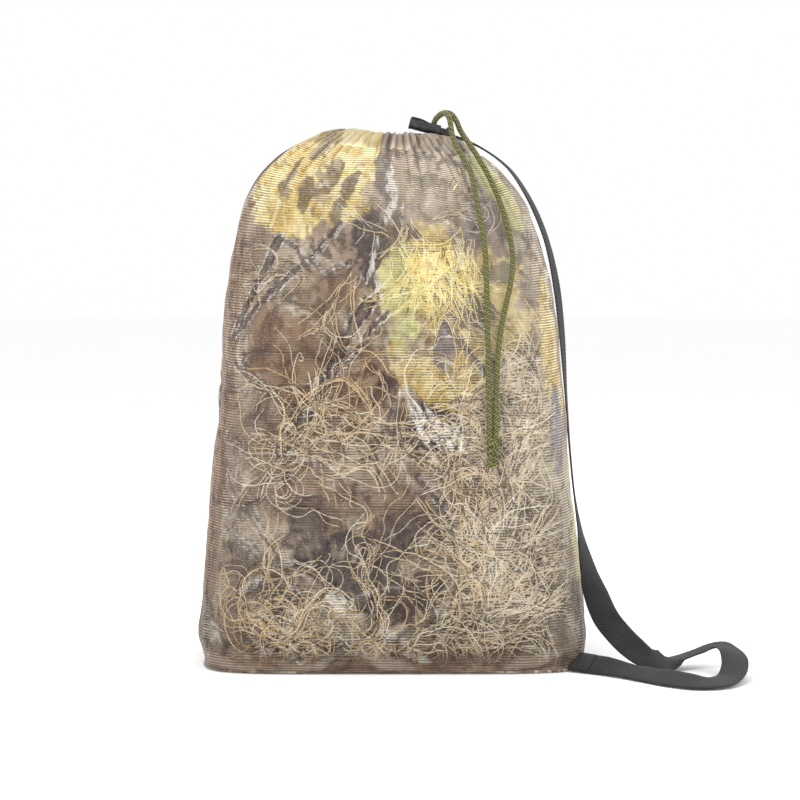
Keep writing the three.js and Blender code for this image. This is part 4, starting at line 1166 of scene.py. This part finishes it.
# name, node, side and finish; then for each cluster its place across and up, half spread across and up,
# count, length, curl per mm, heading and spread of heading
CLOUDS = [
    ("threads_trousers_left", "trousers_tuft_left", FRONT, STRAW, [
        (-84, 32, 26, 18, 150, 85, .09, 0, 90), (-100, 62, 18, 26, 24, 70, .05, 80, 60)]),
    ("threads_trousers_middle", "trousers_tuft_middle", FRONT, STRAW, [
        (-22, 24, 40, 12, 84, 75, .07, 0, 60), (-40, 72, 40, 20, 15, 90, .05, 0, 80),
        (22, 34, 20, 16, 60, 70, .06, 20, 60)]),
    ("threads_trousers_right", "trousers_tuft_right", FRONT, STRAW, [
        (60, 40, 40, 20, 170, 80, .035, 25, 35), (72, 84, 30, 30, 150, 95, .03, 55, 25),
        (100, 66, 24, 40, 60, 90, .04, 85, 30), (46, 100, 18, 24, 36, 80, .035, 40, 30)]),
    ("threads_jacket_left", "jacket_tuft_left", FRONT, STRAW, [
        (-72, 186, 36, 14, 96, 95, .05, 0, 50), (-88, 160, 26, 18, 48, 60, .09, 0, 90),
        (-50, 150, 30, 20, 9, 80, .05, 0, 90)]),
    ("threads_jacket_middle", "jacket_tuft_middle", FRONT, STRAW, [
        (8, 182, 30, 14, 66, 90, .035, 5, 30), (-10, 140, 24, 20, 12, 90, .05, 60, 80)]),
    ("threads_jacket_right", "jacket_tuft_right", FRONT, STRAW, [
        (56, 198, 36, 16, 110, 90, .04, 10, 35), (92, 150, 22, 40, 130, 100, .03, 75, 22),
        (50, 152, 22, 22, 66, 70, .05, 50, 60), (108, 206, 12, 30, 36, 70, .04, 80, 40)]),
    ("threads_hood_middle", "hood_tuft_middle", FRONT, GOLD, [
        (30, 322, 20, 6, 96, 62, .02, -96, 14), (10, 318, 16, 6, 54, 60, .03, -55, 20),
        (44, 326, 8, 6, 24, 70, .02, -88, 8)]),
    ("threads_hood_left", "hood_tuft_left", FRONT, STRAW, [
        (-96, 304, 12, 18, 24, 50, .07, -90, 40), (-24, 300, 5, 6, 12, 70, .012, -122, 6),
        (-46, 276, 8, 12, 12, 46, .06, -100, 40), (-56, 250, 16, 20, 6, 90, .03, -50, 30)]),
    ("threads_hood_top", "hood_tuft_top", FRONT, STRAW, [
        (16, 338, 22, 10, 18, 50, .03, -80, 30), (48, 356, 20, 16, 30, 60, .07, 0, 90),
        (-52, 362, 26, 22, 18, 60, .04, 0, 90)]),
    ("threads_trousers_back", "trousers_tuft_back", BACK, STRAW, [
        (24, 64, 50, 28, 180, 95, .05, 20, 70), (-70, 46, 34, 24, 90, 90, .06, 0, 80)]),
    ("threads_jacket_back_left", "jacket_tuft_back_left", BACK, STRAW, [
        (-52, 184, 36, 28, 132, 95, .05, 60, 60)]),
    ("threads_jacket_back_right", "jacket_tuft_back_right", BACK, STRAW, [
        (52, 176, 34, 32, 132, 95, .045, -20, 60)]),
    ("threads_wrap_back", "rifle_wrap_tuft", BACK, STRAW, [
        (0, 302, 38, 30, 150, 90, .035, -70, 40), (30, 250, 40, 22, 48, 80, .06, 0, 90)]),
]


def thread_bed(x, z, facing):
    """How far a place on the clothes is in the shade of the threads over it."""
    shade = np.zeros_like(x)
    for _, _, side, _, clusters in CLOUDS:
        for cx, cz, sx, sz, count, *_ in clusters:
            near = np.exp(-((x - cx) / (1.3 * sx)) ** 2 - ((z - cz) / (1.4 * sz)) ** 2)
            shade = np.maximum(shade, near * min(1.0, count / 60) * (facing == side))
    return shade


# ---------------------------------------------------------------- clothes in the bag

SKIN_GAP = 4.7
# height of its foot and its top, and the side of the bag it is on, where it isn't all round
BUNDLES = {
    "trousers_bundle": (2.2, 125, None), "jacket_bundle": (125.5, 238, None),
    "hood_bundle": (238.5, 393, FRONT), "rifle_wrap_bundle": (238.5, 393, BACK),
}
BUNDLE_COLUMNS = 340
BUNDLE_ROW = 1.25
# how deep the folds and the tucks between the garments are, and how far their edges wander, mm
FOLD = 2.6
TUCK = 6
TUCK_SHARE = 0.04
SWAY = 7
for number, (node, (low, high, half)) in enumerate(BUNDLES.items()):
    heights = np.linspace(low, high, int((high - low) / BUNDLE_ROW))
    grid = np.stack([ring_around(z, SKIN_GAP, BUNDLE_COLUMNS) for z in heights])
    if half == FRONT:
        grid = grid[:, :, :BUNDLE_COLUMNS]
    if half == BACK:
        grid = grid[:, :, BUNDLE_COLUMNS - 1:]
    x, y, u, share, facing = (grid[:, i] for i in range(5))
    z = np.repeat(heights[:, None], x.shape[1], axis=1)
    up = np.linspace(0, 1, len(heights))[:, None]
    edge = np.minimum(share, 1 - share)
    by_side = smooth(0.12, 0.0, edge)
    crumple = 2.2 * fractal(u / 24 + 9 * facing, z / 24, 121 + number, 4, 0.6) - 0.9
    crumple = crumple + 2.6 * by_side
    crease = np.exp(-(fractal(u / 40 + 5 * facing, z / 40, 131 + number, 2) / 0.05) ** 2)
    tuck = TUCK * np.exp(-up / TUCK_SHARE) + TUCK * np.exp(-(1 - up) / TUCK_SHARE)
    tuck = tuck * smooth(0.02, 0.14, edge)
    out = np.minimum(crumple, 0.4 + 2.2 * by_side) - FOLD * crease - tuck
    grow = 1 + out / np.maximum(np.hypot(x, y), 20)
    x, y = x * grow, y * grow
    # away from the sides the clothes follow the skin's lumps
    depth = SKIN_GAP + 0.3 - 0.5 * np.minimum(crumple, 0.4) + FOLD * crease + tuck
    under_skin = np.where(facing < 0, skin_y(x, z, FRONT), skin_y(x, z, BACK)) - facing * depth
    y = y + smooth(0.05, 0.16, edge) * (under_skin - y)
    if half:
        y = y + half * 0.8
    sway = SWAY * fractal(u / 48 + 7 * facing, 0 * u, 141, 2) * smooth(20, 100, z) * smooth(392, 300, z)
    ring = np.stack([x, y, z + sway + tilt_drop(x, z)], axis=-1)
    obj = loft(f"{node.replace('_bundle', '')}_folded", ring, BUNDLE)
    # painted shade in the creases and the tucks between garments, and darker towards the bottom
    dark = np.maximum(0.6 * crease, 0.6 * np.minimum(tuck / 5, 1)) + 0.34 * smooth(130, 10, z)
    # painted shade under the threads
    dark = dark + 1.05 * thread_bed(x, z, facing)
    shape = np.stack([dark, paler_places(x, z, facing), 0 * crease], axis=-1)
    dress(obj, u, z, z, facing.ravel(), shape)
    belongs(obj, "bag", "leaf_cloth", node)

# ---------------------------------------------------------------- threads

STRANDS = 3
THREAD_STEP = 2.2
THREAD_SIDES = 4
THREAD_RADII = (0.28, 0.5)
SHORTEST_THREAD = 6
STRAW_DEPTHS = (0.7, 3.4)
GOLD_DEPTHS = (0.6, 1.4)
FIRST_SEED = 300


def wander(rng, place, heading, length, curl):
    """A path across the cloth that turns smoothly this way and that."""
    steps = max(8, int(length / THREAD_STEP))
    bends = np.zeros(steps)
    bend = rng.normal(0, curl)
    for k in range(steps):
        bend = bend * 0.9 + rng.normal(0, curl * 0.42)
        bends[k] = bend
    way = heading + np.cumsum(bends) * THREAD_STEP
    run = np.stack([np.cos(way), np.sin(way)], axis=1)
    return np.asarray(place) + np.cumsum(run, axis=0) * THREAD_STEP, np.stack([-run[:, 1], run[:, 0]], axis=1)


def thread_path(guide, beside, phase, deep, number, rng):
    """A strand's places across and up and its depth: its lock's line, frayed, and cut at the bag's edge."""
    steps = len(guide)
    along = np.arange(steps) * THREAD_STEP
    loose = rng.uniform(0.8, 6.0)
    slow, quick = noise(along / 26 + phase + number, along * 0, 7), noise(along / 9, along * 0 + number, 8)
    fray = loose * (slow + 0.5 * quick)
    fray = fray + rng.normal(0, 2.2) + rng.normal(0, 6.5) * (along / along[-1]) ** 2
    flat = guide + beside * fray[:, None]
    start = rng.integers(0, max(1, steps // 6))
    stop = steps - rng.integers(0, max(1, steps // 6))
    depth = deep + 0.6 * noise(along[start:stop] / 12, along[start:stop] * 0 + number, 9)
    x, z = flat[start:stop].T
    half_width, _, middle, _ = section(z, 5)
    outside = (z < 5) | (z > 388) | (np.abs(x - middle) > half_width * 0.975)
    keep = int(np.argmax(outside)) if outside.any() else len(x)
    return x[:keep], z[:keep], np.maximum(depth[:keep], 0.5)


def thread_cloud(name, node, facing, material, clusters, seed):
    """Curled threads in locks of a few strands, just under the skin."""
    rng = np.random.default_rng(seed)
    depths, slot = (GOLD_DEPTHS, "gold_thread") if material == GOLD else (STRAW_DEPTHS, "straw_thread")
    points, faces, tones, base_index = [], [], [], 0
    turn = (np.arange(THREAD_SIDES) / THREAD_SIDES * 2 * math.pi)[None, :, None]
    for cx, cz, sx, sz, count, long, curl, heading, spread in clusters:
        for number in range(max(1, count // STRANDS) * STRANDS):
            if number % STRANDS == 0:
                length = long * rng.uniform(0.6, 1.3)
                place = (cx + rng.normal(0, sx * 0.5), cz + rng.normal(0, sz * 0.5))
                way = math.radians(heading + rng.normal(0, spread))
                guide, beside = wander(rng, place, way, length, curl)
                phase = rng.uniform(0, 99)
                deep = rng.uniform(*depths)
            x, z, depth = thread_path(guide, beside, phase, deep, number, rng)
            if len(x) < SHORTEST_THREAD:
                continue
            y = skin_y(x, z, facing) - facing * depth
            line = np.stack([x, y, z + tilt_drop(x, z)], axis=1)
            run, across, up = frames_along(line)
            ends = np.ones(len(line))
            ends[[0, -1]] = 0.4
            radius = rng.uniform(*THREAD_RADII) * ends[:, None, None]
            ring = line[:, None] + radius * (np.cos(turn) * across[:, None] + np.sin(turn) * up[:, None])
            points.append(ring.reshape(-1, 3))
            faces.append(grid_faces(len(line), THREAD_SIDES, closed=True) + base_index)
            pale = 1 - 0.5 * float(smooth(20, 80, x.mean()))
            # each strand's tone, paler towards the right, and the share that picks the strands painted in
            # shade
            tone = (rng.uniform(0, 1) * pale, rng.uniform(0, 1), 0)
            tones.append(np.tile(tone, (len(line) * THREAD_SIDES, 1)))
            base_index += len(line) * THREAD_SIDES
    obj = make(name, np.vstack(points), np.vstack(faces), material)
    attribute(obj, "tone", np.vstack(tones))
    belongs(obj, "bag", slot, node)


for seed, cloud in enumerate(CLOUDS, start=FIRST_SEED):
    thread_cloud(*cloud, seed)

# ---------------------------------------------------------------- cord lock

SPRING_TURNS = 4
SPRING_REACH = 4.1
SPRING_RADIUS = 1.8
spring_middle = np.array(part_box("cord_lock_spring")).mean(0) / MM
spring_share = np.linspace(0, 1, 240)[:, None]
spring_angle = spring_share * 2 * math.pi * SPRING_TURNS
spring_points = (
    spring_middle + (spring_share * 2 - 1) * SPRING_REACH * LOCK_X
    + SPRING_RADIUS * (np.cos(spring_angle) * np.array((0, 1, 0)) + np.sin(spring_angle) * LOCK_Z)
)
spring = tube("lock_spring_coil", even(spring_points, 0.35), 0.38, 10, STEEL)
belongs(spring, "cord_lock", "spring_steel", "cord_lock_spring")
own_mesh(spring)

# a raised thumb rest, a flange round the shut end, and a ridge on each side:
# its place across, then along the lock its half width, bottom and top
RIDGE = [(-11, 0.2, -1.6, -0.8), (-10.4, 0.5, -1.8, -0.5), (9.6, 0.5, -1.8, -0.5), (10.2, 0.2, -1.6, -0.8)]
LOCK_MOULDINGS = {
    "lock_thumb_rest": (0, [
        (-11.9, 6.4, 3.6, 4.9), (-11.4, 7.0, 3.6, 5.3), (-8.0, 7.1, 3.6, 5.35), (-4.0, 7.1, 3.6, 5.2),
        (-1.6, 6.9, 3.6, 4.8), (0.2, 6.7, 3.6, 4.4), (1.6, 6.4, 3.6, 4.1), (2.2, 6.0, 3.6, 3.8),
    ]),
    "lock_end_flange": (0, [
        (-12.6, 7.9, -3.9, 4.0), (-12.3, 8.5, -4.4, 4.7), (-11.2, 8.5, -4.4, 4.7), (-10.9, 8.0, -4.0, 4.2),
    ]),
    "lock_ridge_front": (-7.9, RIDGE),
    "lock_ridge_back": (7.9, RIDGE),
}
MOULDING_SIDES = 40
turn = np.linspace(0, 2 * math.pi, MOULDING_SIDES, endpoint=False)
squared = [np.sign(wave) * np.abs(wave) ** 0.45 for wave in (np.cos(turn), np.sin(turn))]
for name, (side, stations) in LOCK_MOULDINGS.items():
    rings = [
        [in_lock(along, side + half * a, (low + high) / 2 + (high - low) / 2 * b) for a, b in zip(*squared)]
        for along, half, low, high in stations
    ]
    belongs(loft(name, rings, PLASTIC, flip=True), "cord_lock", "black_plastic")

for node in ("cord_lock_barrel", "cord_lock_plunger"):
    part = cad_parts[node]
    part.data.materials.clear()
    part.data.materials.append(PLASTIC)

# ---------------------------------------------------------------- studio

FLOOR_RADII = (1, 600, 1500, 3000, 6000, 12000)
FLOOR_LEVEL = -0.3
FLOOR_SIDES = 48
floor_turn = np.linspace(0, 2 * math.pi, FLOOR_SIDES, endpoint=False)
floor_rings = [[(r * math.cos(a), r * math.sin(a), FLOOR_LEVEL) for a in floor_turn] for r in FLOOR_RADII]
floor = loft("floor", floor_rings, floor_material(), flip=True, first=False, last=False)

world = bpy.data.worlds.new("studio")
world.use_nodes = True
world.node_tree.nodes["Background"].inputs[0].default_value = (1, 1, 1, 1)
world.node_tree.nodes["Background"].inputs[1].default_value = 1.0
scene.world = world

# place, target, size in m and power in W
LIGHTS = {
    "key": ((-0.9, -1.3, 1.5), (0, 0, 0.2), 1.0, 22),
    "fill": ((1.4, -1.2, 0.9), (0, 0, 0.2), 1.2, 10),
    "rim": ((0.3, 1.4, 1.4), (0, 0, 0.25), 1.0, 10),
}
for name, (place, target, size, power) in LIGHTS.items():
    data = bpy.data.lights.new(name, "AREA")
    data.shape = "DISK"
    data.size = size
    data.energy = power
    light = bpy.data.objects.new(name, data)
    light.location = place
    way = Vector(target) - Vector(place)
    light.rotation_euler = way.to_track_quat("-Z", "Y").to_euler()
    scene.collection.objects.link(light)
scene.view_settings.view_transform = "Standard"
